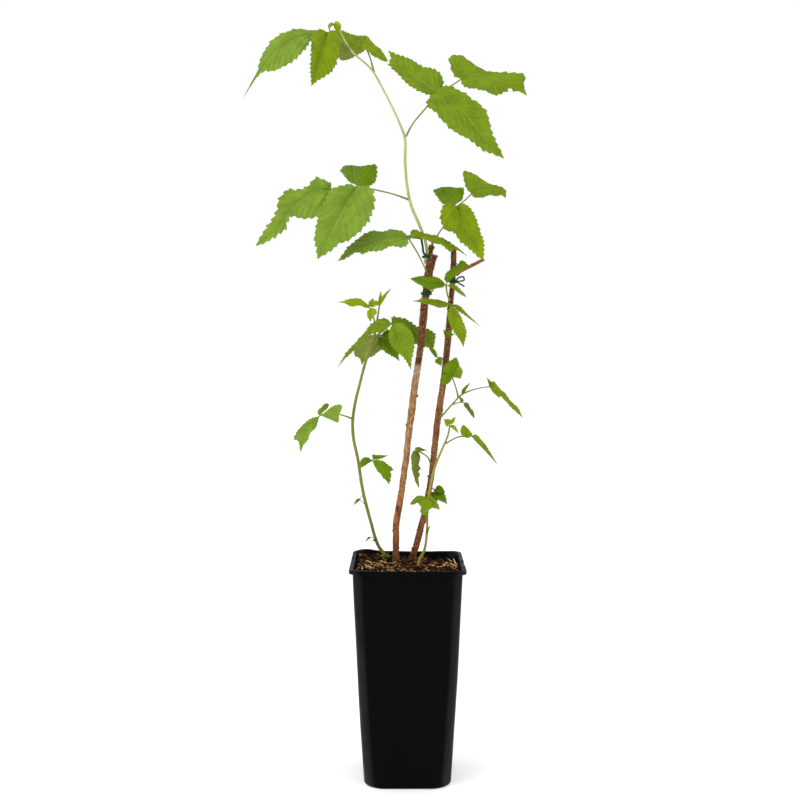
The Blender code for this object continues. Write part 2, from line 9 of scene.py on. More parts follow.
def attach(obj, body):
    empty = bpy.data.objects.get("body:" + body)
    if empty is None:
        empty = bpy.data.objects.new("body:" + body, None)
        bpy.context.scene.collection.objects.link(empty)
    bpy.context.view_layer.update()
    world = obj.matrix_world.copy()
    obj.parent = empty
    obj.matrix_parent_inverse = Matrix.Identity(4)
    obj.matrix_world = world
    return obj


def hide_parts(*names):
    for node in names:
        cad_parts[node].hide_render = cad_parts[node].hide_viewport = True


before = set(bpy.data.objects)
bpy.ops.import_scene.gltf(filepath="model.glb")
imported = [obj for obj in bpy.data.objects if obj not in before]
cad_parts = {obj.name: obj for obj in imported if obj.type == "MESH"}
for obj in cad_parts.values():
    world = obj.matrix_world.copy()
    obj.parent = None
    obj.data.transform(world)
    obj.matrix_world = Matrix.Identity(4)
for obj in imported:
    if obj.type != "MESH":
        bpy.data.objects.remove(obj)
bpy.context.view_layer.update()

# The front view
# Every stem and leaf was measured as the plant is seen from the front, on a sheet of 800 by 800
# units, with its depth behind the pot's middle in millimetres. The camera stands where that
# sheet is seen, and place() turns a spot on it into metres.
MM = 0.001
SHEET = 800.0
LENS = 50.0
SENSOR = 36.0
FOCAL = SHEET * LENS / SENSOR
EYE = Vector((-0.0085, -1.267, 0.483))
EYE_PITCH = math.radians(2.327)


def place(across, down, depth):
    """The point seen at (across, down) on the front sheet, depth mm behind the pot's middle."""
    side = (across - SHEET / 2) / FOCAL
    up = (SHEET / 2 - down) / FOCAL
    ray = Vector((side,
                  math.cos(EYE_PITCH) + up * math.sin(EYE_PITCH),
                  up * math.cos(EYE_PITCH) - math.sin(EYE_PITCH)))
    return EYE + ray * ((depth * MM - EYE.y) / ray.y)


bpy.ops.object.select_all(action="DESELECT")
bpy.ops.object.camera_add(location=EYE, rotation=(math.radians(90) - EYE_PITCH, 0, 0))
camera = bpy.context.object
camera.name = "front_camera"
camera.data.lens = LENS
camera.data.sensor_width = SENSOR
camera.data.clip_start = 0.01
bpy.context.scene.camera = camera

# The pot
# A deep square nursery pot, moulded in one piece from thin black recycled plastic, with a folded
# lip that stiffens the rim, round corners that grow wider towards the foot, and four drain
# holes. Handling has left faint scuffs and a little dust on it. A paler strip along its round
# corners is a painted highlight.
POT_HEIGHT = 0.247
RIM_WIDTH = 0.130
RIM_CORNER = 0.013
LIP_HEIGHT = 0.005
MOUTH_WIDTH = 0.122
MOUTH_CORNER = 0.010
FOOT_WIDTH = 0.0987
FOOT_CORNER = 0.024
BELLY = 0.0016
WALL = 0.002
FLOOR = 0.003
FOOT_ROUND = 0.0014
DRAIN_RADIUS = 0.0045
DRAIN_OFFSET = 0.030
LIP_ROUND = 0.0008
LIP_WAVE = 0.0011
# Where the lip has been pushed up or down: across, back and how far
LIP_DENTS = [(-0.050, 0.060, 0.0024), (0.063, -0.010, -0.0018)]
DENT_SPREAD = 0.013
WALL_WAVE = 0.006
STIFF_EDGE = 0.002
# Steps round a quarter of the pot, and those of them that are on its corner
QUARTER = 30
CORNER_SHARE = 8
LAMP_ALLOWANCE = 0.90


def shade(red, green, blue):
    """A colour as it looks in the finished picture, 0 to 255, in the linear values that shaders
    take, less what the lamps add to the white tent's light."""
    parts = [(v / 255) / 12.92 if v <= 10 else ((v / 255 + 0.055) / 1.055) ** 2.4
             for v in (red, green, blue)]
    return (*[v * LAMP_ALLOWANCE for v in parts], 1.0)


def new_material(name, roughness, specular):
    """Starts a finish. The functions below add their nodes to the finish that was started last."""
    global finish, shader
    finish = bpy.data.materials.new(name)
    finish.use_nodes = True
    shader = finish.node_tree.nodes["Principled BSDF"].inputs
    shader["Roughness"].default_value = roughness
    shader["Specular IOR Level"].default_value = specular
    return finish


def join_to(value, socket):
    if isinstance(value, bpy.types.NodeSocket):
        finish.node_tree.links.new(value, socket)
    else:
        socket.default_value = value


def add_node(kind, inputs, **settings):
    made = finish.node_tree.nodes.new("ShaderNode" + kind)
    for key, value in settings.items():
        setattr(made, key, value)
    for key, value in inputs.items():
        join_to(value, made.inputs[key])
    return made


def on_object():
    return add_node("TexCoord", {}).outputs["Object"]


def parts_of(vector):
    return add_node("SeparateXYZ", {"Vector": vector}).outputs


def stretched(scale):
    """Object coordinates, drawn out along the axes whose scale is small."""
    return add_node("Mapping", {"Vector": on_object(), "Scale": scale}).outputs["Vector"]


def clouds(scale, detail=4.0, rough=0.5):
    """Noise on object coordinates. A scale of three numbers makes streaks."""
    if not isinstance(scale, tuple):
        scale = (scale, scale, scale)
    return add_node("TexNoise", {"Vector": stretched(scale), "Scale": 1.0, "Detail": detail,
                                 "Roughness": rough}).outputs["Fac"]


def between(value, low, high, first=0.0, second=1.0):
    """A value as it goes from low to high, turned into one from first to second."""
    return add_node("MapRange", {"Value": value, "From Min": low, "From Max": high, "To Min": first,
                                 "To Max": second}, interpolation_type="SMOOTHSTEP").outputs["Result"]


def sums(what, first, second=0.0):
    return add_node("Math", {0: first, 1: second}, operation=what).outputs[0]


def times(first, second):
    return sums("MULTIPLY", first, second)


def plus(first, second):
    return sums("ADD", first, second)


def mixed(factor, first, second):
    return add_node("Mix", {0: factor, 6: first, 7: second}, data_type="RGBA").outputs[2]


def paint(colour):
    join_to(colour, shader["Base Color"])


def relief(height, depth):
    """Bump of that depth in metres, from a height of 0 to 1."""
    made = add_node("Bump", {"Height": height, "Strength": 1.0, "Distance": depth})
    join_to(made.outputs["Normal"], shader["Normal"])


def coated(piece, *finishes):
    """Gives a piece its finishes, and hands it back."""
    piece.data.materials.clear()
    for each in finishes:
        piece.data.materials.append(each)
    return piece


def edited(piece, *steps):
    """Runs edit-mode steps on all of a piece."""
    bpy.ops.object.select_all(action="DESELECT")
    piece.select_set(True)
    bpy.context.view_layer.objects.active = piece
    bpy.ops.object.mode_set(mode="EDIT")
    bpy.ops.mesh.select_all(action="SELECT")
    for step in steps:
        step()
    bpy.ops.object.mode_set(mode="OBJECT")


def face_out():
    bpy.ops.mesh.select_all(action="SELECT")
    bpy.ops.mesh.normals_make_consistent(inside=False)


def finish_piece(piece, slot, *nodes):
    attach(piece, "root")
    if nodes:
        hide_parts(*nodes)


def body_section(height):
    """The pot's outer width and corner radius at a height: a taper with a slight belly."""
    share = height / POT_HEIGHT
    width = FOOT_WIDTH + (MOUTH_WIDTH - FOOT_WIDTH) * share + BELLY * math.sin(math.pi * share)
    return width, FOOT_CORNER + (MOUTH_CORNER - FOOT_CORNER) * share


def square_point(step, width, corner):
    """A point on a square with round corners, by its step of the 4 * QUARTER round it."""
    quarter, part = divmod(step, QUARTER)
    inner = width / 2 - corner
    turn = math.radians(90 * quarter)
    if part <= CORNER_SHARE:
        angle = math.radians(90 * part / CORNER_SHARE)
        flat = Vector((inner + corner * math.cos(angle), inner + corner * math.sin(angle)))
    else:
        share = (part - CORNER_SHARE) / (QUARTER - CORNER_SHARE)
        flat = Vector((inner - 2 * inner * share, width / 2))
    return Vector((flat.x * math.cos(turn) - flat.y * math.sin(turn),
                   flat.x * math.sin(turn) + flat.y * math.cos(turn)))


lip_base = POT_HEIGHT - LIP_HEIGHT
levels = [(FOOT_WIDTH - 2 * FOOT_ROUND, FOOT_CORNER - FOOT_ROUND, 0.0),
          (FOOT_WIDTH - 0.6 * FOOT_ROUND, FOOT_CORNER, 0.3 * FOOT_ROUND),
          (FOOT_WIDTH, FOOT_CORNER, FOOT_ROUND)]
climb = [lip_base * share for share in (0.12, 0.25, 0.37, 0.5, 0.62, 0.75, 0.87, 0.97)]
levels += [(*body_section(height), height) for height in climb]
levels += [(*body_section(lip_base), lip_base),
           (RIM_WIDTH - 2 * LIP_ROUND, RIM_CORNER, lip_base - LIP_ROUND / 4),
           (RIM_WIDTH, RIM_CORNER, lip_base + LIP_ROUND),
           (RIM_WIDTH, RIM_CORNER, POT_HEIGHT - 1.75 * LIP_ROUND),
           (RIM_WIDTH - LIP_ROUND, RIM_CORNER, POT_HEIGHT - LIP_ROUND / 2),
           (RIM_WIDTH - 3.5 * LIP_ROUND, RIM_CORNER - 1.25 * LIP_ROUND, POT_HEIGHT),
           (MOUTH_WIDTH - 1.5 * LIP_ROUND, MOUTH_CORNER, POT_HEIGHT - LIP_ROUND / 2)]
for height in [lip_base] + climb[::-1] + [FLOOR]:
    width, corner = body_section(height)
    levels.append((width - 2 * WALL, corner - WALL, height))

bpy.ops.mesh.primitive_circle_add(vertices=4 * QUARTER, radius=1, fill_type="NGON")
pot = bpy.context.object
pot.name = "nursery_pot"
bpy.ops.object.mode_set(mode="EDIT")
for level in levels[1:]:
    bpy.ops.mesh.extrude_region_move(TRANSFORM_OT_translate={"value": (0, 0, 1)})
bpy.ops.object.mode_set(mode="OBJECT")
for vertex in pot.data.vertices:
    width, corner, height = levels[round(vertex.co.z)]
    angle = math.atan2(vertex.co.y, vertex.co.x) % (2 * math.pi)
    flat = square_point(round(angle / (2 * math.pi) * 4 * QUARTER) % (4 * QUARTER), width, corner)
    sag = 0.0
    bulge = 1 + WALL_WAVE * noise.noise(Vector((flat.x * 16, flat.y * 16, height * 11)))
    if height > lip_base - STIFF_EDGE:
        bulge = 1.0
        sag = LIP_WAVE * noise.noise(Vector((flat.x * 60, flat.y * 60, 3.1)))
        for x, y, rise in LIP_DENTS:
            sag += rise * math.exp(-((flat.x - x) ** 2 + (flat.y - y) ** 2) / DENT_SPREAD ** 2)
    elif height < STIFF_EDGE:
        bulge = 1.0
    vertex.co = (flat.x * bulge, flat.y * bulge, height + sag)
bpy.ops.object.select_all(action="DESELECT")
holes = []
for x in (-DRAIN_OFFSET, DRAIN_OFFSET):
    for y in (-DRAIN_OFFSET, DRAIN_OFFSET):
        bpy.ops.mesh.primitive_cylinder_add(vertices=24, radius=DRAIN_RADIUS, depth=4 * FLOOR,
                                            location=(x, y, 0))
        holes.append(bpy.context.object)
for hole in holes:
    cut = pot.modifiers.new("drain", "BOOLEAN")
    cut.operation = "DIFFERENCE"
    cut.object = hole
    bpy.context.view_layer.objects.active = pot
    bpy.ops.object.modifier_apply(modifier="drain")
    bpy.data.objects.remove(hole, do_unlink=True)
edited(pot, face_out)
bpy.ops.object.shade_smooth_by_angle(angle=math.radians(38))

plastic = new_material("scuffed_black_plastic", 0.38, 0.03)
mottle = clouds(26.0, 6.0, 0.6)
scratch = between(clouds((700.0, 700.0, 40.0), 3.0), 0.66, 0.74)
rub = between(clouds(55.0, 5.0, 0.7), 0.56, 0.72)
dust = between(clouds(900.0, 2.0), 0.70, 0.78, 0.0, 0.6)
wear = sums("MAXIMUM", times(scratch, rub), times(dust, rub))
black = mixed(mottle, shade(3, 3, 3), shade(8, 8, 8))
# Painted highlight: a mottled paler grey strip down the pot's four round corners, where the plastic's sheen
# would catch the light.
spot = parts_of(on_object())
cross = sums("ABSOLUTE", times(spot["X"], spot["Y"]))
square = plus(sums("POWER", spot["X"], 2.0), sums("POWER", spot["Y"], 2.0))
corner = between(sums("DIVIDE", cross, square), 0.487, 0.499, 0.0, 0.9)
corner_highlighted = mixed(times(corner, mottle), black, shade(42, 42, 44))
paint(mixed(wear, corner_highlighted, shade(44, 42, 40)))
join_to(between(mottle, 0.3, 0.7, 0.30, 0.46), shader["Roughness"])
grain = plus(clouds((420.0, 420.0, 130.0), 5.0), times(wear, -0.6))
relief(grain, 0.00016)
finish_piece(coated(pot, plastic), "black_plastic", "pot")

# The compost
# Coarse potting compost: crumbled bark and wood fibre, firmed in by hand. It stands almost level
# with the rim at the front and back left and has sunk at the back right. Chips and splinters of
# every brown lie over one another on top.
SOIL_LEVEL = 0.2405
SOIL_GRID = 76
BED_GAP = 0.0004
HEAP_RISE = 0.0035
SUNK_DEPTH = 0.009
FRONT_RISE = 0.0028
LUMP_HEIGHT = 0.0014
CHIP_COUNT = 1750
CHIP_LENGTH = (0.0035, 0.010)
CHIP_WIDTH = (0.0007, 0.0023)
CHIP_THICKNESS = (0.0004, 0.0011)
EDGE_GAP = 0.001
CORNER_GAP = 0.010
LONG_CHIPS = 0.25
LONG_BY = 1.7
LOOSE = 0.0014
CHIP_TILT = 0.24
CHIP_ROLL = 0.5
# How common each brown is, and its colour
CHIPS = {"dark": (0.54, (32, 17, 10)), "rust": (0.13, (88, 45, 22)), "brown": (0.19, (64, 38, 21)),
         "tan": (0.09, (158, 110, 62)), "pale": (0.05, (218, 180, 128))}
# Where pale splinters lie thick: across, back, spread and how many
PALE_HEAPS = [(-0.034, -0.006, 0.009, 56), (0.050, -0.004, 0.006, 26), (-0.012, -0.040, 0.012, 12)]


def tint(colour, share):
    """A darker or lighter shade of a colour."""
    return shade(*[min(v * share, 255) for v in colour])


def soil_height(x, y):
    """The compost's top: higher at the back left, sunk at the back right, lumpy all over."""
    sunk = max((x + y) / MOUTH_WIDTH, 0) ** 2 * max(min((y + 0.01) / 0.06, 1), 0)
    heaped = max((y - x) / MOUTH_WIDTH, 0) ** 2
    lumps = noise.fractal(Vector((x * 95, y * 95, 0.7)), 0.7, 2.1, 4)
    front = max(-y / 0.06, 0) ** 3
    return (SOIL_LEVEL + HEAP_RISE * heaped - SUNK_DEPTH * sunk + FRONT_RISE * front
            + LUMP_HEIGHT * lumps)


def grid(name, columns, rows):
    """A flat grid, with each of its vertices' column and row."""
    bpy.ops.object.select_all(action="DESELECT")
    bpy.ops.mesh.primitive_grid_add(x_subdivisions=columns, y_subdivisions=rows, size=2)
    piece = bpy.context.object
    piece.name = name
    flat = np.empty(3 * len(piece.data.vertices), dtype=np.float32)
    piece.data.vertices.foreach_get("co", flat)
    flat = flat.reshape(-1, 3)
    column = np.rint((flat[:, 0] + 1) / 2 * columns).astype(int)
    row = np.rint((flat[:, 1] + 1) / 2 * rows).astype(int)
    return piece, column, row


def shaped(piece, points):
    piece.data.vertices.foreach_set("co", np.ascontiguousarray(points, dtype=np.float32).ravel())
    piece.data.update()


def joined(pieces, name):
    bpy.ops.object.select_all(action="DESELECT")
    for piece in pieces:
        piece.select_set(True)
    bpy.context.view_layer.objects.active = pieces[0]
    if len(pieces) > 1:
        bpy.ops.object.join()
    pieces[0].name = name
    pieces[0].data.name = name
    return pieces[0]


def complete(pieces, name, slot, *nodes, angle=60):
    """Joins a piece's parts, smooths all but its sharp edges, hangs it under the root body and hides the
    model parts it takes the place of.
    """
    whole = joined(pieces, name)
    bpy.ops.object.shade_smooth_by_angle(angle=math.radians(angle))
    finish_piece(whole, slot, *nodes)


def copies(name, template, matrices):
    """One mesh of many copies of a small template, which is used up."""
    count = len(template.data.vertices)
    points = np.empty(3 * count)
    template.data.vertices.foreach_get("co", points)
    points = np.column_stack([points.reshape(-1, 3), np.ones(count)])
    faces = [list(face.vertices) for face in template.data.polygons]
    bpy.data.objects.remove(template, do_unlink=True)
    moved = [points @ np.array(matrix)[:3].T for matrix in matrices]
    all_faces = [[v + k * count for v in face] for k in range(len(matrices)) for face in faces]
    mesh = bpy.data.meshes.new(name)
    mesh.from_pydata(np.concatenate(moved).tolist(), [], all_faces)
    mesh.uv_layers.new(name="UVMap")
    piece = bpy.data.objects.new(name, mesh)
    bpy.context.scene.collection.objects.link(piece)
    return piece


soil, column, row = grid("compost_bed", SOIL_GRID, SOIL_GRID)
half = body_section(SOIL_LEVEL)[0] / 2 - WALL - BED_GAP
across = 2 * column / SOIL_GRID - 1
back = 2 * row / SOIL_GRID - 1
pinch = 1 - 0.045 * np.abs(across * back) ** 7
spots = np.column_stack([across * pinch * half, back * pinch * half])
shaped(soil, [(x, y, soil_height(x, y)) for x, y in spots])
edited(soil, lambda: bpy.ops.mesh.extrude_region_move(TRANSFORM_OT_translate={"value": (0, 0, -1)}),
       face_out)
foot = FOOT_WIDTH / 2 - WALL - 2 * BED_GAP
for vertex in soil.data.vertices:
    if vertex.co.z < 0:
        x, y = vertex.co.x / half, vertex.co.y / half
        pull = 1 - 0.16 * abs(x * y) ** 1.5
        vertex.co = (x * pull * foot, y * pull * foot, FLOOR + BED_GAP)
bpy.ops.object.shade_smooth_by_angle(angle=math.radians(60))

earth = new_material("dark_compost", 0.95, 0.05)
crumb = clouds(420.0, 6.0, 0.7)
fibre = between(clouds((900.0, 260.0, 500.0), 3.0), 0.52, 0.66)
brown = mixed(between(crumb, 0.35, 0.65), shade(12, 7, 5), shade(50, 30, 18))
paint(mixed(fibre, brown, shade(76, 48, 28)))
relief(crumb, 0.0016)
finish_piece(coated(soil, earth), "compost", "compost")

rng = random.Random(41)
places = {name: [] for name in CHIPS}
names = list(CHIPS)
weights = [CHIPS[name][0] for name in names]
reach = half - EDGE_GAP
strewn = [None] * CHIP_COUNT + [heap for heap in PALE_HEAPS for _ in range(heap[3])]
for heap in strewn:
    kind = rng.choice(["pale", "tan"]) if heap else rng.choices(names, weights)[0]
    length = rng.uniform(*CHIP_LENGTH) * (LONG_BY if rng.random() < LONG_CHIPS else 1.0)
    size = (length, rng.uniform(*CHIP_WIDTH), rng.uniform(*CHIP_THICKNESS))
    turn = rng.uniform(0, math.pi)
    free_x = reach - abs(math.cos(turn)) * length / 2
    free_y = reach - abs(math.sin(turn)) * length / 2
    x = rng.uniform(-1, 1) * free_x
    y = rng.uniform(-1, 1) * free_y
    if heap:
        x = max(min(rng.gauss(heap[0], heap[2]), free_x), -free_x)
        y = max(min(rng.gauss(heap[1], heap[2]), free_y), -free_y)
    if abs(x) + abs(y) > 2 * reach - CORNER_GAP:
        continue
    tip = rng.gauss(0, CHIP_TILT)
    lift = BED_GAP / 2 + abs(math.sin(tip)) * length * 0.3 + rng.uniform(0, LOOSE)
    lift += 2 * BED_GAP if heap else 0
    where = Vector((x, y, soil_height(x, y) + lift))
    turned = Euler((rng.gauss(0, CHIP_ROLL), tip, turn)).to_matrix().to_4x4()
    places[kind].append(Matrix.Translation(where) @ turned @ Matrix.Diagonal((*size, 1)))
for kind, spots in places.items():
    bpy.ops.object.select_all(action="DESELECT")
    bpy.ops.mesh.primitive_cube_add(size=1)
    chip = bpy.context.object
    edited(chip, lambda: bpy.ops.mesh.subdivide(number_cuts=1))
    for vertex in chip.data.vertices:
        x, y, z = vertex.co
        thin = 1 - 1.6 * x * x
        vertex.co = (x, y * thin + 0.5 * x * x, z * thin + 0.5 * x * x - 0.3 * y * y)
    chips = copies("compost_chips_" + kind, chip, spots)
    wood = new_material("wood_chip_" + kind, 0.85, 0.08)
    colour = CHIPS[kind][1]
    streak = clouds(700.0, 4.0, 0.6)
    paint(mixed(between(streak, 0.3, 0.7), tint(colour, 0.62), tint(colour, 1.22)))
    relief(clouds(1500.0, 3.0), 0.0003)
    finish_piece(coated(chips, wood), "compost")

# The woody canes
# Two last-year canes stand in the compost, each cut off at the top. Their bark is thin and
# reddish brown and peels to pale tan fibre, with fine bristles, a few dormant buds and pale
# sawn ends. The left one has a cut stub beside its top, the right one a short cut twig.
STRAIGHT_FOOT = 0.004
GAP = 0.0003
CANE_SIDES, TWIG_SIDES = 20, 16
BARK_STEP = 0.0014
BARK_LUMPS = 0.15
BARK_GROOVES = 0.07
BRISTLE_LENGTH = 0.0017
BRISTLE_THICKNESS = 0.00036
BRISTLE_LEAN = (-0.1, 0.45)
BRISTLE_SPREAD = (0.6, 1.15)
CANE_BRISTLE_GAP, TWIG_BRISTLE_GAP = 0.00024, 0.0008
# Heights (m) between which the bark's colour changes, and where it is bare
FOOT_BAND, LOWER_BAND, UPPER_BAND = (0.245, 0.285), (0.29, 0.36), (0.44, 0.50)
BARE_FROM, BARE_TO = (0.345, 0.38), (0.470, 0.476)
SCAR_HEIGHT = 0.465
CANES = {
    "cane_left": [
        (396.0, 563, 10, 3.6), (396.0, 540, 10, 3.6), (396.5, 522, 10, 3.7), (400.3, 500, 10, 3.7),
        (403.0, 480, 9, 3.6), (406.0, 460, 9, 3.6), (408.5, 435, 8, 3.6), (411.8, 410, 8, 4.0),
        (414.5, 388, 8, 3.9), (417.2, 370, 8, 3.7), (420.8, 345, 8, 3.6), (423.0, 322, 8, 4.3),
        (424.8, 303, 8, 4.0), (427.0, 288, 7, 4.3), (429.3, 272, 5, 4.6), (434.2, 254.7, 0, 3.7)],
    "cane_right": [
        (412.6, 561, 26, 3.5), (415.8, 547, 25, 3.6), (420.3, 530, 24, 3.6), (424.3, 515, 22, 3.4),
        (427.8, 495, 20, 3.3), (430.7, 480, 19, 3.4), (433.8, 455, 18, 3.6), (436.4, 430, 16, 3.6),
        (439.4, 408, 15, 3.7), (443.0, 385, 15, 3.6), (446.0, 360, 14, 3.6), (448.3, 335, 13, 3.6),
        (450.6, 305, 13, 2.9), (452.8, 280, 12, 2.9), (453.6, 262, 12, 3.3), (453.6, 249.5, 12, 3.0)],
}
CUT_BRANCHES = {
    "cane_left_stub": ("cane_left", (429.0, 274), [
        (428.2, 266, 13.5, 3.0), (429.4, 257, 14.5, 3.0), (431.7, 245.3, 15, 3.0)]),
    "cane_right_twig": ("cane_right", (453.0, 278), [
        (459.0, 272.5, 11, 1.9), (470.0, 266.5, 9, 1.9), (484.0, 259.3, 6, 1.8)]),
}
# Dormant buds, old spurs and knobs: across, down, the side they point to, length and thickness
CANE_BUDS = {
    "cane_left": [(392.5, 530, -1, 3.2, 1.3), (404.5, 424, -1, 3.4, 1.4), (417.8, 397, 1, 4.2, 1.9),
                  (419.5, 310, -1, 3.2, 1.6), (399, 547.5, 1, 2.2, 1.1), (424.6, 346, 1, 2.4, 1.2),
                  (402, 470, -1, 2.4, 1.2), (413.5, 440, 1, 2.4, 1.2), (437.0, 257.5, 1, 3.2, 1.8)],
    "cane_right": [(412, 547.5, -1, 4.0, 1.1), (419, 530, -1, 3.0, 1.2), (427, 477, -1, 4.2, 1.1),
                   (429.5, 524, 1, 4.4, 1.0), (441, 412, 1, 3.4, 1.8), (448.5, 308, -1, 2.6, 1.3),
                   (455.5, 264, 1, 2.6, 1.3), (455, 246.5, 1, 3.6, 1.5)],
    "cane_left_stub": [(433.4, 248, 1, 3.0, 1.6)],
    "cane_right_twig": [(481, 261, 1, 1.4, 0.9)],
}


def stem_path(rows):
    return [(place(across, down, depth), radius * MM) for across, down, depth, radius in rows]


def planted_path(rows):
    """A path that starts with a level cut on the compost."""
    path = stem_path(rows)
    low, radius = path[0]
    foot = Vector((low.x, low.y, SOIL_LEVEL + GAP))
    low.z = foot.z + STRAIGHT_FOOT
    return [(foot, radius)] + path


def nearest(path, spot):
    """The point of a path nearest to a spot of the sheet, its radius and the direction there."""
    best = None
    for (start, r0), (end, r1) in zip(path, path[1:]):
        for step in range(9):
            share = step / 8
            where = start.lerp(end, share)
            distance = (where - place(*spot, where.y / MM)).length
            if best is None or distance < best[0]:
                best = (distance, where, r0 + (r1 - r0) * share, (end - start).normalized())
    return best[1:]


def rooted(path, spot, onward, radius):
    """Where a side shoot leaves its carrier: at its surface, on the line to onward."""
    if spot is None:
        return path[-1][0]
    where, carrier_radius, along = nearest(path, spot)
    direction = (onward - where).normalized()
    lean = abs(direction.dot(along))
    rise = max(math.sqrt(1 - lean * lean), 0.3)
    return where + direction * ((carrier_radius + radius * lean) / rise * 0.8)


def soft_curve(knots, shares):
    """Points at shares of the length of a soft curve through the knots."""
    gaps = np.linalg.norm(np.diff(knots[:, :3], axis=0), axis=1)
    at = np.concatenate([[0.0], np.cumsum(gaps)])
    slopes = np.gradient(knots, at, axis=0)
    spaced = np.asarray(shares) * at[-1]
    k = np.clip(np.searchsorted(at, spaced, side="right") - 1, 0, len(gaps) - 1)
    run = gaps[k][:, None]
    s = (spaced - at[k])[:, None] / run
    return ((2 * s ** 3 - 3 * s ** 2 + 1) * knots[k] + (s ** 3 - 2 * s ** 2 + s) * run * slopes[k]
            + (3 * s ** 2 - 2 * s ** 3) * knots[k + 1] + (s ** 3 - s ** 2) * run * slopes[k + 1])


def smooth(path, step):
    """Evenly spaced points on a soft curve through a path, their radii and metres along it."""
    knots = np.array([[*where, radius] for where, radius in path])
    length = np.linalg.norm(np.diff(knots[:, :3], axis=0), axis=1).sum()
    shares = np.linspace(0, 1, max(int(length / step), 2) + 1)
    curve = soft_curve(knots, shares)
    return curve[:, :3], curve[:, 3], shares * length


def carried(points):
    """Two directions square to a curve at each point, which turn as little as they can."""
    along = np.gradient(points, axis=0)
    along /= np.linalg.norm(along, axis=1)[:, None]
    first = np.cross(along[0], (0.31, -0.95, 0.05))
    sides = []
    for direction in along:
        first = first - direction * np.dot(first, direction)
        first /= np.linalg.norm(first)
        sides.append(first)
    sides = np.array(sides)
    return along, sides, np.cross(along, sides)


def limb(name, path, sides, step, rough=0.0, grooves=0.0):
    """A closed round limb along a path: a grid rolled up, its seam merged and its ends filled.
    Its UV map holds the turn round it and the metres along it."""
    points, radii, spaced = smooth(path, step)
    _, side, front = carried(points)
    piece, column, row = grid(name, sides, len(points) - 1)
    angle = column / sides * 2 * math.pi
    out = np.cos(angle)[:, None] * side[row] + np.sin(angle)[:, None] * front[row]
    radius = radii[row].copy()
    if rough or grooves:
        for i in range(len(radius)):
            x, y, z = points[row[i]]
            ox, oy = math.cos(angle[i]), math.sin(angle[i])
            bump = noise.noise(Vector((ox * 1.1, oy * 1.1, z * 95)))
            furrow = noise.noise(Vector((ox * 4.5, oy * 4.5, z * 28)))
            radius[i] *= 1 + rough * bump + grooves * furrow
    shaped(piece, points[row] + out * radius[:, None])
    lay_map(piece, column / sides, spaced[row])
    edited(piece, lambda: bpy.ops.mesh.remove_doubles(threshold=0.000002),
           lambda: bpy.ops.mesh.fill_holes(sides=0), face_out)
    return piece


def lay_map(piece, first, second):
    """Writes a UV map from two values for each vertex."""
    corners = np.empty(len(piece.data.loops), dtype=np.int32)
    piece.data.loops.foreach_get("vertex_index", corners)
    both = np.column_stack([first[corners], second[corners]]).astype(np.float32)
    piece.data.uv_layers.active.data.foreach_set("uv", both.ravel())


def bristles(name, path, spacing, length, thick, seed):
    """Short stiff hairs all round a limb, leaning a little towards its tip."""
    points, radii, _ = smooth(path, spacing)
    along, side, front = carried(points)
    rng = random.Random(seed)
    matrices = []
    for where, radius, up, a, b in zip(points, radii, along, side, front):
        turn = rng.uniform(0, 2 * math.pi)
        out = Vector(a) * math.cos(turn) + Vector(b) * math.sin(turn)
        lean = (out + Vector(up) * rng.uniform(*BRISTLE_LEAN)).normalized()
        start = Vector(where) + Vector(up) * rng.uniform(-0.5, 0.5) * spacing + out * radius * 0.93
        turned = Vector((0, 0, 1)).rotation_difference(lean).to_matrix().to_4x4()
        tall = length * rng.uniform(*BRISTLE_SPREAD)
        matrices.append(Matrix.Translation(start) @ turned @ Matrix.Diagonal((1, 1, tall / MM, 1)))
    bpy.ops.object.select_all(action="DESELECT")
    bpy.ops.mesh.primitive_cone_add(vertices=3, radius1=thick, radius2=0, depth=MM,
                                    location=(0, 0, MM / 2))
    hair = bpy.context.object
    bpy.ops.object.transform_apply(location=True)
    return copies(name, hair, matrices)


def bud(name, where, lean, length, thick, point=0.55):
    """A pointed bud: a ball drawn out to a tip, with its scales as low ridges."""
    bpy.ops.object.select_all(action="DESELECT")
    bpy.ops.mesh.primitive_uv_sphere_add(segments=10, ring_count=8, radius=1)
    made = bpy.context.object
    turned = Vector((0, 0, 1)).rotation_difference(Vector(lean).normalized()).to_matrix()
    for vertex in made.data.vertices:
        z = vertex.co.z
        narrow = (1 - point * max(z, 0)) * thick * (1 + 0.10 * math.sin(7 * z + 3 * vertex.co.x))
        shape = Vector((vertex.co.x * narrow, vertex.co.y * narrow, z * length / 2 + length * 0.3))
        vertex.co = where + turned @ shape
    made.name = name
    return made


paths = {name: planted_path(rows) for name, rows in CANES.items()}
for name, (carrier, spot, rows) in CUT_BRANCHES.items():
    path = stem_path(rows)
    paths[name] = [(rooted(paths[carrier], spot, path[0][0], path[0][1]), path[0][1])] + path


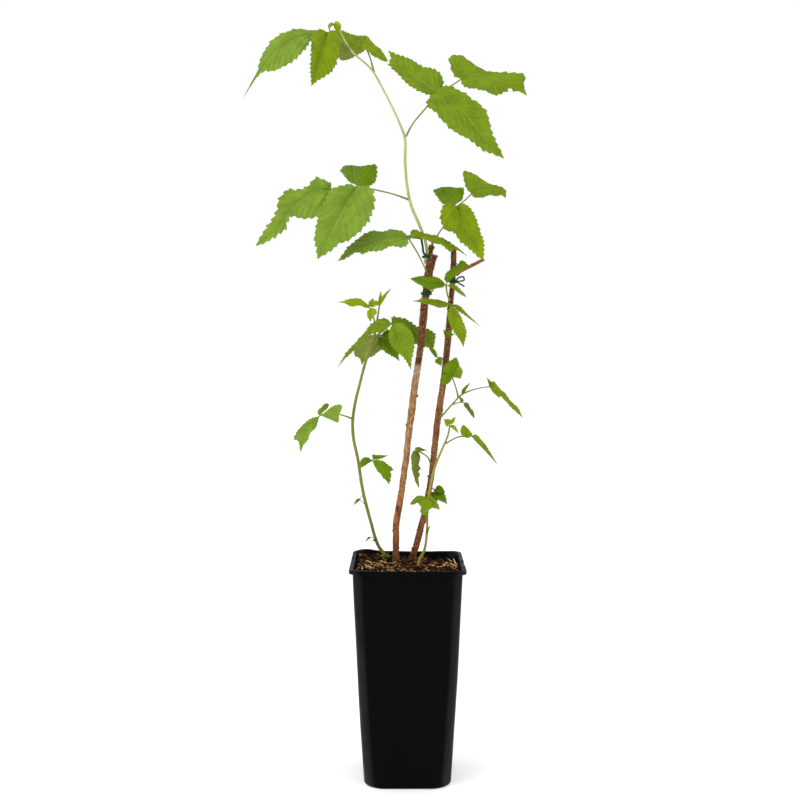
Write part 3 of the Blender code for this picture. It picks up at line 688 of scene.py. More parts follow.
def bark(name, low, middle, high, peel, scar=None):
    """Fibrous bark. The colours run from the foot to the top, peel says how much of it has come
    away to pale tan, and scar is the height of a bleached ring with a dark edge above it."""
    made = new_material(name, 0.75, 0.12)
    height = parts_of(on_object())["Z"]
    fibres = clouds((1300.0, 1300.0, 190.0), 5.0, 0.65)
    flakes = clouds((330.0, 330.0, 60.0), 5.0, 0.6)
    ticks = between(clouds((300.0, 300.0, 900.0), 3.0), 0.53, 0.62)
    blotch = clouds((160.0, 160.0, 60.0), 3.0)
    foot = mixed(between(height, *FOOT_BAND), shade(134, 74, 44), shade(*low))
    lower = mixed(between(height, *LOWER_BAND), foot, shade(*middle))
    whole = mixed(between(height, *UPPER_BAND), lower, shade(*high))
    dark = mixed(between(blotch, 0.42, 0.66), whole, shade(92, 54, 26))
    bare = times(between(height, *BARE_FROM), between(height, *BARE_TO, 1.0, 0.0))
    share = plus(times(bare, peel), flakes)
    shown = between(share, 0.58, 0.80)
    tan = mixed(between(fibres, 0.35, 0.65), shade(144, 98, 52), shade(214, 172, 122))
    skin = mixed(shown, dark, tan)
    lines = between(fibres, 0.38, 0.52, 0.50, 0.0)
    ringed = mixed(times(ticks, 0.30), mixed(lines, skin, shade(56, 30, 16)), shade(62, 34, 20))
    specks = between(clouds((640.0, 640.0, 560.0), 2.0), 0.55, 0.64, 0.0, 0.66)
    dotted = mixed(specks, ringed, shade(212, 158, 108))
    if scar:
        pale = times(between(height, scar - 0.014, scar - 0.004),
                     between(height, scar + 0.004, scar + 0.008, 0.55, 0.0))
        bleached = mixed(times(pale, between(fibres, 0.3, 0.6)), dotted, shade(222, 200, 176))
        edge = times(between(height, scar + 0.005, scar + 0.009),
                     between(height, scar + 0.012, scar + 0.018, 0.75, 0.0))
        dotted = mixed(edge, bleached, shade(48, 26, 16))
    paint(dotted)
    depth = plus(plus(fibres, specks), times(shown, -0.35))
    relief(sums("SUBTRACT", depth, times(ticks, 0.6)), 0.0010)
    return made


def hair_finish(name, grain, low, high):
    made = new_material(name, 0.6, 0.3)
    tuft = clouds(grain)
    paint(mixed(tuft, shade(*low), shade(*high)))
    relief(tuft, 0.0001)
    return made


BARKS = {
    "cane_left": bark("bark_left", (198, 121, 66), (212, 158, 108), (132, 78, 40), 0.33, SCAR_HEIGHT),
    "cane_right": bark("bark_right", (166, 102, 58), (162, 110, 64), (114, 66, 28), 0.06),
}
BARKS["cane_left_stub"] = BARKS["cane_left"]
BARKS["cane_right_twig"] = bark("bark_twig", (150, 96, 84), (168, 112, 98), (196, 122, 78), 0.1)

cut_wood = new_material("cut_wood", 0.8, 0.2)
rings = clouds(900.0, 3.0)
paint(mixed(between(rings, 0.35, 0.65), shade(122, 92, 66), shade(196, 168, 130)))
relief(rings, 0.0003)

hair_brown = hair_finish("bristle_brown", 60.0, (128, 76, 50), (206, 152, 108))

bud_brown = new_material("bud_scales", 0.7, 0.3)
scales = clouds((900.0, 900.0, 1400.0), 3.0)
paint(mixed(scales, shade(62, 32, 26), shade(142, 92, 62)))
relief(scales, 0.0003)

for number, (name, path) in enumerate(paths.items()):
    thick = name in CANES
    stem = limb(name + "_bark", path, CANE_SIDES if thick else TWIG_SIDES, BARK_STEP, BARK_LUMPS,
                BARK_GROOVES)
    coated(stem, BARKS[name], cut_wood)
    for face in stem.data.polygons:
        if len(face.vertices) > 4:
            face.material_index = 1
    hairs = bristles(name + "_bristles", path, CANE_BRISTLE_GAP if thick else TWIG_BRISTLE_GAP,
                     BRISTLE_LENGTH, BRISTLE_THICKNESS, 50 + number)
    group = [stem, coated(hairs, hair_brown)]
    for across, down, way, length, wide in CANE_BUDS[name]:
        where, radius, onward = nearest(path, (across, down))
        out = Vector((way, -0.3, 0)).normalized()
        made = bud("bud", where + out * radius * 0.75, out + onward * 0.6, length * MM, wide * MM)
        group.append(coated(made, bud_brown))
    complete(group, name + "_bark", "brown_bark", name, angle=50)

# The green shoots
# This year's soft shoots, round and pale yellow-green, with a fine down of short bristles. Two
# come up from the compost, the tall one has grown from the cut top of the left cane, and a thin
# branch grows from the right cane.
SHOOTS = {
    "shoot_left_lower": [
        (385.0, 560, 30, 2.2), (378.0, 545, 29, 2.0), (370.3, 520, 27, 1.9), (362.7, 490, 23, 1.9),
        (358.0, 460, 18, 1.8), (353.0, 434, 14, 1.8), (352.7, 421, 12, 1.8)],
    "shoot_left_upper": [
        (352.7, 421, 12, 1.8), (354.8, 405, 10, 1.7), (360.0, 383, 6, 1.6), (366.5, 359, 2, 1.5),
        (374.0, 339, -1, 1.3), (377.0, 321, -2, 1.0), (379.0, 308, -2, 0.8)],
    "shoot_right": [
        (418.6, 566, -3, 1.6), (424.0, 551, -3, 1.5), (427.0, 530, -4, 1.3), (427.5, 510, -5, 1.3),
        (431.0, 482, -5, 1.3), (436.0, 464, -5, 1.3), (443.5, 446, -4, 1.2), (448.3, 434, -3, 1.0),
        (449.5, 427, -3, 0.9)],
    "shoot_tall_lower": [
        (425.4, 262.5, 9, 1.8), (427.0, 256, 8, 1.8), (426.6, 247, 6, 1.8), (424.0, 237, 3, 1.7),
        (419.0, 224, 0, 1.7), (411.0, 205, -3, 1.7), (407.0, 185, -4, 1.6), (405.2, 162, -5, 1.6)],
    "shoot_tall_upper": [
        (405.2, 162, -5, 1.6), (404.3, 136, -5, 1.5), (399.0, 122, -4, 1.2), (386.0, 95, -2, 1.1),
        (371.0, 69, 0, 1.1), (351.0, 50, 2, 1.0), (343.5, 38, 2, 0.9), (339.2, 29.5, 1, 0.9)],
    "lateral_right": [
        (443.5, 414, 9, 1.2), (452.5, 404, 6, 1.0), (462.0, 394.5, 4, 0.9), (474.0, 389.5, 2, 0.7),
        (489.0, 386.6, 0, 0.6)],
}
LONG_SHOOTS = {"shoot_left": ("shoot_left_lower", "shoot_left_upper"),
               "shoot_tall": ("shoot_tall_lower", "shoot_tall_upper"),
               "shoot_right": ("shoot_right",), "lateral_right": ("lateral_right",)}
PLANTED = ("shoot_left_lower", "shoot_right")
# Shoots that start on another stem: that stem, the spot, and how much wider they are there
SHOOT_STARTS = [("shoot_tall_lower", "cane_left_stub", (428.4, 264), 1.0),
                ("lateral_right", "cane_right", (437.6, 420), 1.5)]
SHOOT_SIDES = 14
SHOOT_STEP = 0.0022
SKIN_LUMPS = 0.025
SKIN_GROOVES = 0.015
# Each kind of down by its spacing and its length
DOWN, SPARSE_DOWN = (0.00045, 0.0010), (0.0016, 0.0005)
DOWN_THICKNESS = 0.00019
SHOOT_COLOURS = {"shoot_left": ((110, 110, 37), (138, 138, 62)),
                 "shoot_tall": ((160, 170, 92), (194, 202, 136)),
                 "shoot_right": ((122, 122, 42), (150, 150, 68)),
                 "lateral_right": ((104, 118, 42), (138, 146, 72))}


def green_skin(name, deep, light):
    made = new_material(name, 0.5, 0.16)
    ribs = clouds((900.0, 900.0, 45.0), 4.0)
    patches = clouds((120.0, 120.0, 40.0), 3.0)
    fresh = mixed(between(patches, 0.3, 0.7), shade(*deep), shade(*light))
    fine = mixed(between(ribs, 0.40, 0.62, 0.0, 0.55), fresh, shade(*light))
    spots = between(clouds((1300.0, 1300.0, 600.0), 2.0), 0.64, 0.74, 0.0, 0.5)
    paint(mixed(spots, fine, shade(126, 100, 54)))
    relief(plus(ribs, spots), 0.0003)
    return made


downy = hair_finish("bristle_pale", 90.0, (144, 124, 62), (196, 190, 122))
for name, rows in SHOOTS.items():
    paths[name] = planted_path(rows) if name in PLANTED else stem_path(rows)
for name, carrier, spot, flare in SHOOT_STARTS:
    start, radius = paths[name][0]
    paths[name].insert(0, (rooted(paths[carrier], spot, start, radius), flare * radius))
for number, (name, nodes) in enumerate(LONG_SHOOTS.items()):
    path = list(paths[nodes[0]])
    for node in nodes[1:]:
        path += paths[node][1:]
    stem = limb(name + "_skin", path, SHOOT_SIDES, SHOOT_STEP, SKIN_LUMPS, SKIN_GROOVES)
    coated(stem, green_skin(name + "_skin", *SHOOT_COLOURS[name]))
    gap, length = SPARSE_DOWN if name == "shoot_tall" else DOWN
    hairs = bristles(name + "_bristles", path, gap, length, DOWN_THICKNESS, 70 + number)
    complete([stem, coated(hairs, downy)], name + "_skin", "green_stem", *nodes, angle=50)

# The leaves
# Each leaf is compound: a thin stalk that carries a large end leaflet and two smaller ones. The
# blades are thin and soft, folded along the midrib and pleated between the side veins, with a
# double row of teeth; they are fresh green above and grey-green felt below.
RIB_RADIUS = 0.00065
RIB_STEP = 0.004
STALK_SIDES, RIB_SIDES = 8, 6
STALK_RADIUS = 0.0009
BLADE_THICKNESS = 0.00032
LOBE = 0.12
VEIN_LEAN = 1.5
PLEAT = 0.015
MARGIN_WAVE = 0.050
PUFF = 0.07
SWELL = 0.10
TOOTH = 0.028
# The three rows of a tooth, how far each stands out, and the level that counts as the margin
TOOTH_ROWS, TOOTH_RISE, MARGIN_LEVEL = (0.08, 0.5, 0.86), (0.0, 0.5, 1.0), 0.4
BIG_TEETH, SMALL_TEETH = (0.65, 1.2), (0.3, 0.75)
TOOTHED_FROM = 0.78
TAIL_WIDTH = 0.085
# The least size of a leaflet, and how many side veins and columns of faces it then has
BLADE_DETAIL = [(0.06, 8, 36), (0.035, 7, 24), (0.03, 6, 24), (0.018, 6, 12), (0, 5, 12)]
STALK_STEP = 0.003


def blade(base, tip, width, turn=0, arch=2, fold=14, drip=0.06, green=None, stalk=(), rib=(),
          left=(), right=()):
    """One leaflet: base and tip, width (mm), turn about the midrib from facing front (degrees),
    arch (mm), how far its halves fold up (degrees), the share of its length that is a drawn-out
    tip, its green, and its own stalk if it has one. Where its outline was measured on the sheet,
    rib, left and right are the midrib and the margins on either hand as one goes to the tip."""
    return dict(base=base, tip=tip, width=width, turn=turn, arch=arch, fold=fold, drip=drip,
                green=green, stalk=stalk, rib=rib, left=left, right=right)


# Each leaf by its carrier, the spot where it leaves that, its stalk and its leaflets
LEAVES = {
    "leaf_tip_left": ("shoot_tall_upper", (351, 50), [(344, 43, -5), (337, 37, -10), (328, 34, -15)], [
        blade((310, 34, -20), (243.5, 97, -45), 44, turn=43, arch=13, drip=0.26, green="soft",
            stalk=[(319, 33, -18), (311, 34, -20)], rib=[(295, 39), (278, 51), (264, 66), (253, 82)],
            left=[(309, 43), (303, 52), (295, 60), (284, 65), (272, 71.5), (263, 72), (257, 77),
                  (250, 87)],
            right=[(305, 29), (291, 29.5), (280, 36), (271, 43), (263, 53), (260, 60), (258.5, 69),
                  (251, 83)]),
        blade((327, 32, -16), (311.5, 86, -50), 37, turn=-8, arch=4, green="bright",
            rib=[(323, 47), (318, 66), (313.5, 79)],
            left=[(334, 30), (338.5, 38), (338.5, 55), (336, 64), (331.5, 72), (325, 76.5), (317, 81)],
            right=[(320, 29.5), (314, 31), (311.5, 42), (311, 55), (310.5, 68), (311, 78)]),
        blade((327, 34, -13), (308, 42, 30), 32, turn=85, arch=3, fold=8)]),
    "leaf_tip_right": ("shoot_tall_upper", (374.5, 75), [(370.5, 59, 6), (367, 50, 14), (364, 43, 17)], [
        blade((362, 45, 20), (338, 57, 34), 26, turn=150, arch=1,
            left=[(365, 49.5), (358, 54.5), (348, 59.5), (341, 60)],
            right=[(357, 42), (348, 42), (339, 44), (336, 50)]),
        blade((366, 44, 17), (334, 31, 30), 26, turn=20, arch=1, green="mid",
            left=[(362, 49), (352, 48.5), (342, 46), (336, 38)],
            right=[(367, 37), (358, 35.5), (349, 33.5), (341, 30)]),
        blade((364, 42, 16), (388, 61.5, 0), 30, turn=-66, arch=0, green="bright",
            left=[(365, 36.5), (373, 42.5), (381, 51), (386, 57)],
            right=[(362, 46.5), (367, 51.5), (374, 56), (381, 60.5)])]),
    "leaf_upper_right": ("shoot_tall_upper", (404.6, 140),
        [(412, 125, -8), (425, 109, -12), (437.5, 94, -15)], [
        blade((439, 94.5, -15), (388, 50.5, -4), 44, turn=38, arch=0, green="mid",
            rib=[(424, 83), (406, 70), (394, 58)],
            left=[(430, 95.5), (421, 93), (413, 87), (401, 77.5), (393, 70), (389, 63), (391, 58)],
            right=[(443.5, 86), (441.5, 76), (433, 70), (423, 66), (412, 60.5), (400, 55.5), (392, 52)]),
        blade((434.5, 91.5, -17), (504, 158.5, -48), 60, turn=-35, green="mid",
            rib=[(453, 103), (466, 115), (480, 133), (493, 148)],
            left=[(445, 86.5), (455, 88), (464, 91.5), (476, 102.5), (487, 116), (492, 130), (496, 142),
                  (500.5, 150.5)],
            right=[(430, 96.5), (426.5, 102), (430, 108), (440, 118), (448, 125.5), (463, 137),
                  (479, 147.5), (488, 152), (496, 155)]),
        blade((461, 79, -2), (527, 95.5, 8), 46, turn=-32, arch=3, green="mid",
            stalk=[(450, 86.5, -8), (460, 80, -2)], rib=[(475, 74.5), (490, 77), (505, 83.5), (518, 90.5)],
            left=[(454.5, 76), (450.5, 67), (449.5, 59.5), (459.5, 55.5), (471, 62), (488, 71.5),
                  (505, 72.5), (525.5, 75.5), (524, 85)],
            right=[(463, 85), (470, 87.5), (479, 91), (489, 92), (497, 93.5), (507, 91), (509.5, 88),
                  (514, 91.5), (521, 90.5)])]),
    "leaf_middle_left": ("shoot_tall_lower", (408.2, 201),
        [(396, 195, -5), (376, 190, -9), (356, 187, -13)], [
        blade((331, 189, -18), (255.5, 246, -42), 50, turn=14, arch=7, fold=8, green="soft",
            stalk=[(343, 187, -16), (332, 189, -18)],
            rib=[(314, 191.5), (301, 200), (290, 212), (278, 227), (266, 239)],
            left=[(332, 199), (322.5, 212.5), (315, 217.5), (305, 219), (297, 217.5), (292.5, 215.5),
                  (284, 230), (274, 237.5), (262, 244)],
            right=[(331, 183.5), (325, 180.5), (317, 178), (306, 187.5), (297, 189.5), (288, 189.5),
                  (279, 200), (277, 211), (268, 225), (260, 237.5)]),
        blade((356, 187, -15), (317.5, 259, -52), 64, turn=12, arch=5, green="soft",
            rib=[(347, 203), (337, 222), (326, 243)],
            left=[(370, 188), (374.5, 198), (371.5, 213), (368, 222), (359, 233.5), (348, 240),
                  (339, 243), (331, 251), (324, 255)],
            right=[(350, 183.5), (338, 187.5), (326, 197), (319.5, 212), (316, 230), (314.5, 239),
                  (316.5, 250)]),
        blade((358, 186, -10), (351, 165, 48), 48, arch=8, fold=6, green="deep",
            left=[(352, 183), (344, 176), (341, 172), (341, 168)],
            right=[(366, 187), (372, 185), (375.5, 180), (377, 172), (377, 167.5), (364, 166.3)])]),
    "leaf_centre": ("cane_left", (428.6, 275), [(424, 266, -2), (418, 254, -9), (409, 239, -14)], [
        blade((408, 238, -14), (338, 261, -32), 46, turn=56, arch=4, green="soft",
            rib=[(390, 237), (370, 241), (352, 250)],
            left=[(407, 245), (400, 247), (393, 246.5), (385, 249.5), (377, 251), (370, 250.5),
                  (364, 253.5), (356, 253), (348, 257.5)],
            right=[(403, 232.5), (385, 230.8), (370, 232.7), (360, 237), (351, 244)]),
        blade((410, 236, -14), (467, 256, -24), 30, turn=-62, arch=3, drip=0.16, green="bright",
            rib=[(425, 236), (440, 241), (452, 246.5), (460, 251)],
            left=[(412, 230.5), (425, 233.5), (440, 237.5), (448, 241), (456, 246.5), (461, 250.5)],
            right=[(413, 236), (424, 239.5), (433, 242.5), (442, 245.5), (450, 251.5), (456, 249.5)]),
        blade((408, 237, -12), (394, 239, 52), 40, turn=88, arch=3, fold=8)]),
    "leaf_middle_right": ("cane_left_stub", None, [(437, 236, 12), (446, 223, 6), (456, 207, -2)], [
        blade((455, 205, -2), (441, 187, 40), 44, green="deep",
            left=[(449, 206), (443, 204), (437.5, 197), (433.5, 190.5)],
            right=[(459, 202), (463.5, 195), (464, 189), (454, 187.3)]),
        blade((457, 206, -5), (483.5, 259.5, -32), 46, turn=-14, arch=4, green="bright",
            rib=[(462, 218), (469, 232), (476, 246)],
            left=[(463, 203.5), (470, 207), (475, 217), (480, 230), (483.5, 241), (484, 250)],
            right=[(449, 203), (442, 208), (440.5, 216), (447, 231), (453.5, 233), (459, 240),
                  (465, 244.5), (473, 252), (479.5, 258)]),
        blade((471.5, 194, 4), (506, 198, 14), 42, turn=-25, arch=4, fold=24, green="mid",
            stalk=[(464, 201, 1), (470.5, 195, 4)], rib=[(479, 187), (489, 187.5), (498, 192)],
            left=[(467, 189), (464, 180), (463.5, 171), (471, 173), (480, 179), (493, 184),
                  (505.5, 190.5)],
            right=[(474, 197.5), (482, 197), (489, 195.5), (497, 196), (502, 195)])]),
    "leaf_tied": ("cane_right", (451, 303), [(447.5, 295, 3), (446, 285, -3)], [
        blade((445, 284, -4), (410, 278.5, -20), 22, turn=48, arch=-1, green="deep",
            left=[(443.5, 287), (437, 288.5), (431, 289.5), (424, 287), (417, 283)],
            right=[(442, 280), (436, 277.5), (429, 276.3), (420, 276.3)]),
        blade((446, 282, -4), (468.5, 265, -4), 22, turn=-48, arch=0, green="deep",
            left=[(444.3, 278.5), (446, 273), (450, 270), (456, 265.5), (462, 260.5)],
            right=[(449, 281.5), (453.5, 276.5), (458.5, 271.5), (464.5, 268.7)]),
        blade((448, 285.5, -5), (466.5, 297, -16), 10, turn=-58, arch=1,
            left=[(452, 283.5), (457, 286.5), (462, 291)], right=[(451, 287), (456, 290.7), (462, 295)])]),
    "leaf_right_cane": ("cane_right", (450.3, 307), [(450.5, 304, 2)], [
        blade((449, 303.5, 1), (412.5, 301, -18), 18, turn=64, arch=-1, drip=0.16, green="bright",
            left=[(447, 307), (441, 307.8), (434, 305.5), (426, 304), (419, 301.8)],
            right=[(446, 302), (438, 300), (430, 298.5), (424, 298), (418, 300)]),
        blade((452, 305, 0), (463.5, 347, -14), 20, turn=-15, drip=0.12, green="bright",
            rib=[(454, 318), (458, 332)],
            left=[(455.5, 308), (460, 315), (464, 324), (466.5, 331), (465.5, 338)],
            right=[(449, 309), (448, 317), (450, 325), (455, 333.5), (460, 340)]),
        blade((453, 304.5, 2), (480, 326, 0), 9, turn=-62, arch=1, drip=0.2,
            left=[(458, 304.8), (464, 310.5), (472, 318.5)],
            right=[(456, 308.5), (463, 314), (471, 319.5)])]),
    "leaf_lateral": ("lateral_right", (458, 398), [(456, 388, 2), (452.5, 378, -1)], [
        blade((452.4, 377, -1), (456.2, 357, 2), 20, turn=8, arch=1, green="deep",
            left=[(446, 374.5), (443, 370), (444.4, 366), (449, 361.3), (452.4, 359.5)],
            right=[(457.5, 373), (459.5, 366.5), (458.2, 361)]),
        blade((453, 377, -2), (463, 371, -10), 15, turn=-20, arch=1, green="mid",
            left=[(455.5, 370), (460, 367)], right=[(456, 377.5), (460.5, 378.4), (462, 374.5)]),
        blade((452, 377, -2), (440, 381.5, -12), 17, turn=15, arch=1, green="deep",
            left=[(450.8, 380.8), (447, 384.2), (442.5, 384.3)], right=[(446, 374), (441.5, 375.5)])]),
    "leaf_lateral_tip": ("lateral_right", None, [(491, 386.3, 0)], [
        blade((490, 384.5, -1), (486.6, 377.5, -12), 4, turn=25, arch=1),
        blade((489.3, 383, -1), (500, 398, -10), 14, turn=-45, arch=1,
            left=[(493, 381.3), (498, 386), (501, 391)], right=[(490, 387.5), (493, 392), (497, 396)]),
        blade((499.5, 389, 0), (523, 418, -8), 13, turn=-56, arch=0, drip=0.14, stalk=[(499, 389, 0)],
            left=[(504, 392), (510, 400), (518, 408)], right=[(500, 393), (506, 402), (514, 410)])]),
    "leaf_lateral_low": ("lateral_right", (451, 405.6), [(457, 403, 2), (463, 402, -2)], [
        blade((464, 402.5, -2), (474.5, 418.5, -10), 10, turn=-50, green="felt",
            left=[(467, 402.5), (470.5, 407.5), (474, 413)], right=[(464, 405), (468.5, 411), (472, 416)]),
        blade((462.5, 401.5, -2), (459.5, 396.5, -10), 4, arch=0)]),
    "leaf_shoot_right": ("shoot_right", (444.2, 444.5), [(450, 441, -6), (458, 437, -7), (468, 436, -8)], [
        blade((467.5, 438, -8), (463, 424.5, -18), 13, turn=10, arch=1,
            left=[(464, 437), (460.5, 432), (461.5, 427)], right=[(470, 437), (470, 431), (467, 427.5)]),
        blade((472, 435.5, -8), (497.5, 464.5, -16), 13, turn=-62, arch=1, drip=0.22,
            stalk=[(471, 435.5, -8)], left=[(476, 434.5), (481.5, 440), (487.5, 447.5), (492, 455)],
            right=[(473, 438), (478, 443.5), (484, 449.5), (490, 455.5)]),
        blade((468.5, 437, -6), (467, 431, 10), 10, arch=1)]),
    "leaf_low_centre": ("cane_right", (431.3, 466), [(428, 457.5, 12), (422, 453, 8), (415, 450, 5)], [
        blade((416, 450, 6), (427, 450.5, 16), 10, turn=-70, arch=1, green="deep"),
        blade((414.3, 451, 4), (419, 488.5, -4), 20, turn=52, fold=20, drip=0.1, green="felt",
            rib=[(415, 464), (417, 477)],
            left=[(417.5, 456), (420.3, 461.5), (418.8, 464.5), (420.8, 468.4), (418.3, 471.4),
                  (419.8, 475.4), (418, 478.4), (419, 483)],
            right=[(411.2, 456), (411.6, 465), (413, 473.4), (415.2, 481.4)]),
        blade((415.8, 450.5, 7), (419, 462, 24), 10, turn=30)]),
    "leaf_low_right": ("shoot_right", (428.3, 500), [(427.5, 498.5, -10)], [
        blade((427, 499.3, -10), (409.8, 504.3, -20), 15, turn=48, green="mid",
            left=[(421, 504), (417.2, 502.8), (413.6, 504.6)],
            right=[(423, 495.8), (417.5, 496), (413.5, 499)]),
        blade((426.5, 498, -11), (424, 515.3, -26), 19, arch=1, green="mid",
            left=[(431, 502), (432, 508), (429, 510), (428.5, 513.5)],
            right=[(421, 501), (419, 504.5), (421.3, 507), (420, 511), (421.5, 514)]),
        blade((427.5, 498.5, -10), (439.7, 510, -18), 14, turn=-38, arch=1, green="mid",
            left=[(430, 495), (434.5, 499), (438.3, 504)], right=[(429, 504), (433, 508), (436, 508.5)])]),
    "leaf_low_back": ("cane_right", (428.2, 489), [(431.5, 487.5, 26), (434.5, 490, 28)], [
        blade((435.2, 488.5, 28), (445.5, 492.5, 22), 11, turn=-35, arch=1, green="deep"),
        blade((435, 491.5, 28), (447.5, 504.3, 18), 14, turn=-30, arch=1, green="deep"),
        blade((434, 492, 28), (433, 508, 26), 12, turn=10, arch=1, green="deep")]),
    "leaf_left_young": ("shoot_left_upper", (376, 328), [(374, 319, -7), (371, 309, -9)], [
        blade((371.3, 307, -9), (372.7, 298.3, -18), 11, arch=1,
            left=[(368.7, 305), (368.7, 302.5)], right=[(374.5, 306.5), (376.3, 303.3)]),
        blade((369.7, 306.5, -9), (338.5, 302, -18), 18, turn=55, arch=3, drip=0.12,
            left=[(366, 308), (361, 305.5), (356, 305.7), (350.5, 306.5), (345, 303)],
            right=[(366, 302.5), (359, 299), (352, 298.5), (345, 300.5)]),
        blade((371, 308.5, -10), (370.3, 322, -18), 12, arch=1,
            left=[(375.5, 309), (376.8, 312.5), (373, 317)],
            right=[(367.8, 311), (367, 315), (368.8, 319)])]),
    "leaf_left_tip": ("shoot_left_upper", None, [(379.6, 305.5, -2)], [
        blade((380.3, 304.5, -2), (391, 288.5, -6), 9, turn=-60, arch=1, fold=25),
        blade((379.8, 304, -1), (381, 291, 4), 5, turn=40, arch=0),
        blade((379, 304.8, -2), (375.5, 300.5, 5), 6, arch=0)]),
    "leaf_left_upper": ("shoot_left_upper", (375, 336.5),
        [(380.5, 333, -8), (387, 327, -12), (391.5, 323.5, -14)], [
        blade((391, 323, -14), (338, 366.5, -32), 24, turn=58, drip=0.16, green="mid",
            rib=[(378, 325.5), (366, 335), (352, 350)],
            left=[(388, 328), (381, 332), (372, 334), (366, 337.5), (359, 346), (350, 354), (344, 359)],
            right=[(387, 319.7), (379, 319.2), (372, 323), (364, 334), (357, 341), (349, 349)]),
        blade((392.5, 324.5, -15), (411, 369.5, -30), 38, turn=-12, arch=3, green="mid",
            rib=[(398, 337), (404, 350)],
            left=[(401, 323), (409, 329), (413.5, 338), (414, 349), (411.5, 360)],
            right=[(389.5, 330), (388.5, 337), (391, 345), (398, 352.5), (404, 358)]),
        blade((393, 326, -13), (434, 348, 56), 36, turn=-20, arch=0, green="deep",
            rib=[(405, 327), (418, 333)],
            left=[(392, 317), (400, 318), (408, 320.5), (416, 326), (426, 328.5), (434, 333)],
            right=[(400, 334), (408, 341), (418, 345), (428, 347)])]),
    "leaf_left_under": ("shoot_left_upper", (374.2, 338.5), [(377.5, 336, 6), (381, 335, 9)], [
        blade((380.4, 336.5, 8), (361.5, 365, 9), 34, turn=168,
            left=[(387.5, 341), (385.5, 347.5), (380, 350.5), (373, 356), (366, 359)],
            right=[(372, 334.5), (362, 340), (354.5, 350), (354.5, 355), (360, 358.5)]),
        blade((382, 334.5, 10), (391, 342, 30), 18, turn=-20, green="deep"),
        blade((382, 336.5, 9), (399.5, 361, 4), 22, turn=-25, arch=1, green="deep")]),
    "leaf_left_middle": ("shoot_left_upper", (353, 418.5),
        [(345, 416, 4), (333, 413.3, -4), (320.5, 415, -9)], [
        blade((319, 416.5, -10), (300.5, 452.5, -26), 24, turn=25, arch=3, green="soft",
            rib=[(311, 424), (304.5, 438)],
            left=[(317.8, 421.7), (315, 428.7), (311, 432.3), (308, 439.6), (303, 445.6)],
            right=[(312.8, 417.8), (306, 421.7), (300, 427.7), (296, 433.7), (294, 439.2), (298, 440.6),
                  (299.3, 446)]),
        blade((321.5, 415.5, -10), (341, 411, -34), 28, turn=-12, green="soft",
            left=[(327.7, 409.8), (334.7, 405.4), (339, 404.4), (342, 405.4)],
            right=[(324, 416.8), (328, 418.8), (333, 420.7), (338, 422.3), (339, 415)]),
        blade((318.5, 415, -8), (329.3, 404, 10), 15, turn=-30, arch=1, green="mid",
            left=[(317.5, 411.5), (321.8, 406.8), (325.7, 403.4)],
            right=[(321, 413.8), (323.8, 411.4), (327.7, 407.8)])]),
    "leaf_left_low": ("shoot_left_lower", (358.8, 466), [(364, 463, 13), (372.5, 460, 8)], [
        blade((372.5, 460.5, 7), (358.5, 468.4, -8), 14, turn=30, arch=1, green="deep",
            left=[(369.5, 462.3), (366.5, 464.5), (362.5, 467)],
            right=[(367.5, 457.5), (364.5, 457.3), (361, 460), (359.5, 464)]),
        blade((373, 459, 8), (388, 455.2, 18), 12, turn=-66, arch=0, green="deep",
            left=[(372.3, 455), (378, 455), (384, 455.4)], right=[(377, 459.4), (382.5, 458)]),
        blade((373, 460.5, 7), (389.3, 484.3, -6), 24, turn=-25, green="deep",
            left=[(377.4, 459.8), (383.4, 461), (387.5, 464.5), (393.3, 469.8), (390, 471.4),
                  (391.5, 475.4), (390.5, 479.5)],
            right=[(373.7, 464), (375.5, 467.5), (378.4, 472.2), (381.3, 474.4), (382.5, 477.4),
                  (386.3, 480.4)])]),
    "leaf_between": ("cane_right", (446.2, 359), [(440, 357.5, 12), (437.5, 357.5, 9)], [
        blade((436.5, 357, 9), (425, 342, 8), 7, turn=45, arch=1, green="deep"),
        blade((438, 358.5, 8), (441.5, 366, 2), 9, turn=10, arch=1, green="deep")]),
    "leaf_shoot_right_tip": ("shoot_right", None, [(449.8, 424.8, -3)], [
        blade((449, 424.3, -4), (443.5, 419, -9), 9, turn=20, arch=1),
        blade((450.3, 423.8, -3), (455.5, 416.5, 2), 6, turn=-40, arch=0),
        blade((450.6, 425.3, -4), (458.5, 433.5, -9), 7, turn=-50, arch=1)]),
}
YOUNG = ("leaf_left_young", "leaf_left_tip", "leaf_shoot_right_tip")
# The greens of the upper sides, of two that are downy above and of the felt below: colour and vein
GREENS = {
    "soft": ((126, 157, 48), (164, 188, 92)), "mid": ((120, 147, 24), (158, 182, 68)),
    "bright": ((124, 149, 10), (164, 186, 52)), "deep": ((105, 137, 5), (142, 168, 44)),
    "young": ((152, 176, 8), (184, 200, 60)), "felt": ((112, 127, 44), (134, 147, 70)),
    "under": ((142, 156, 68), (154, 167, 90)),
}


def on_map():
    return add_node("UVMap", {}, uv_map="UVMap").outputs["UV"]


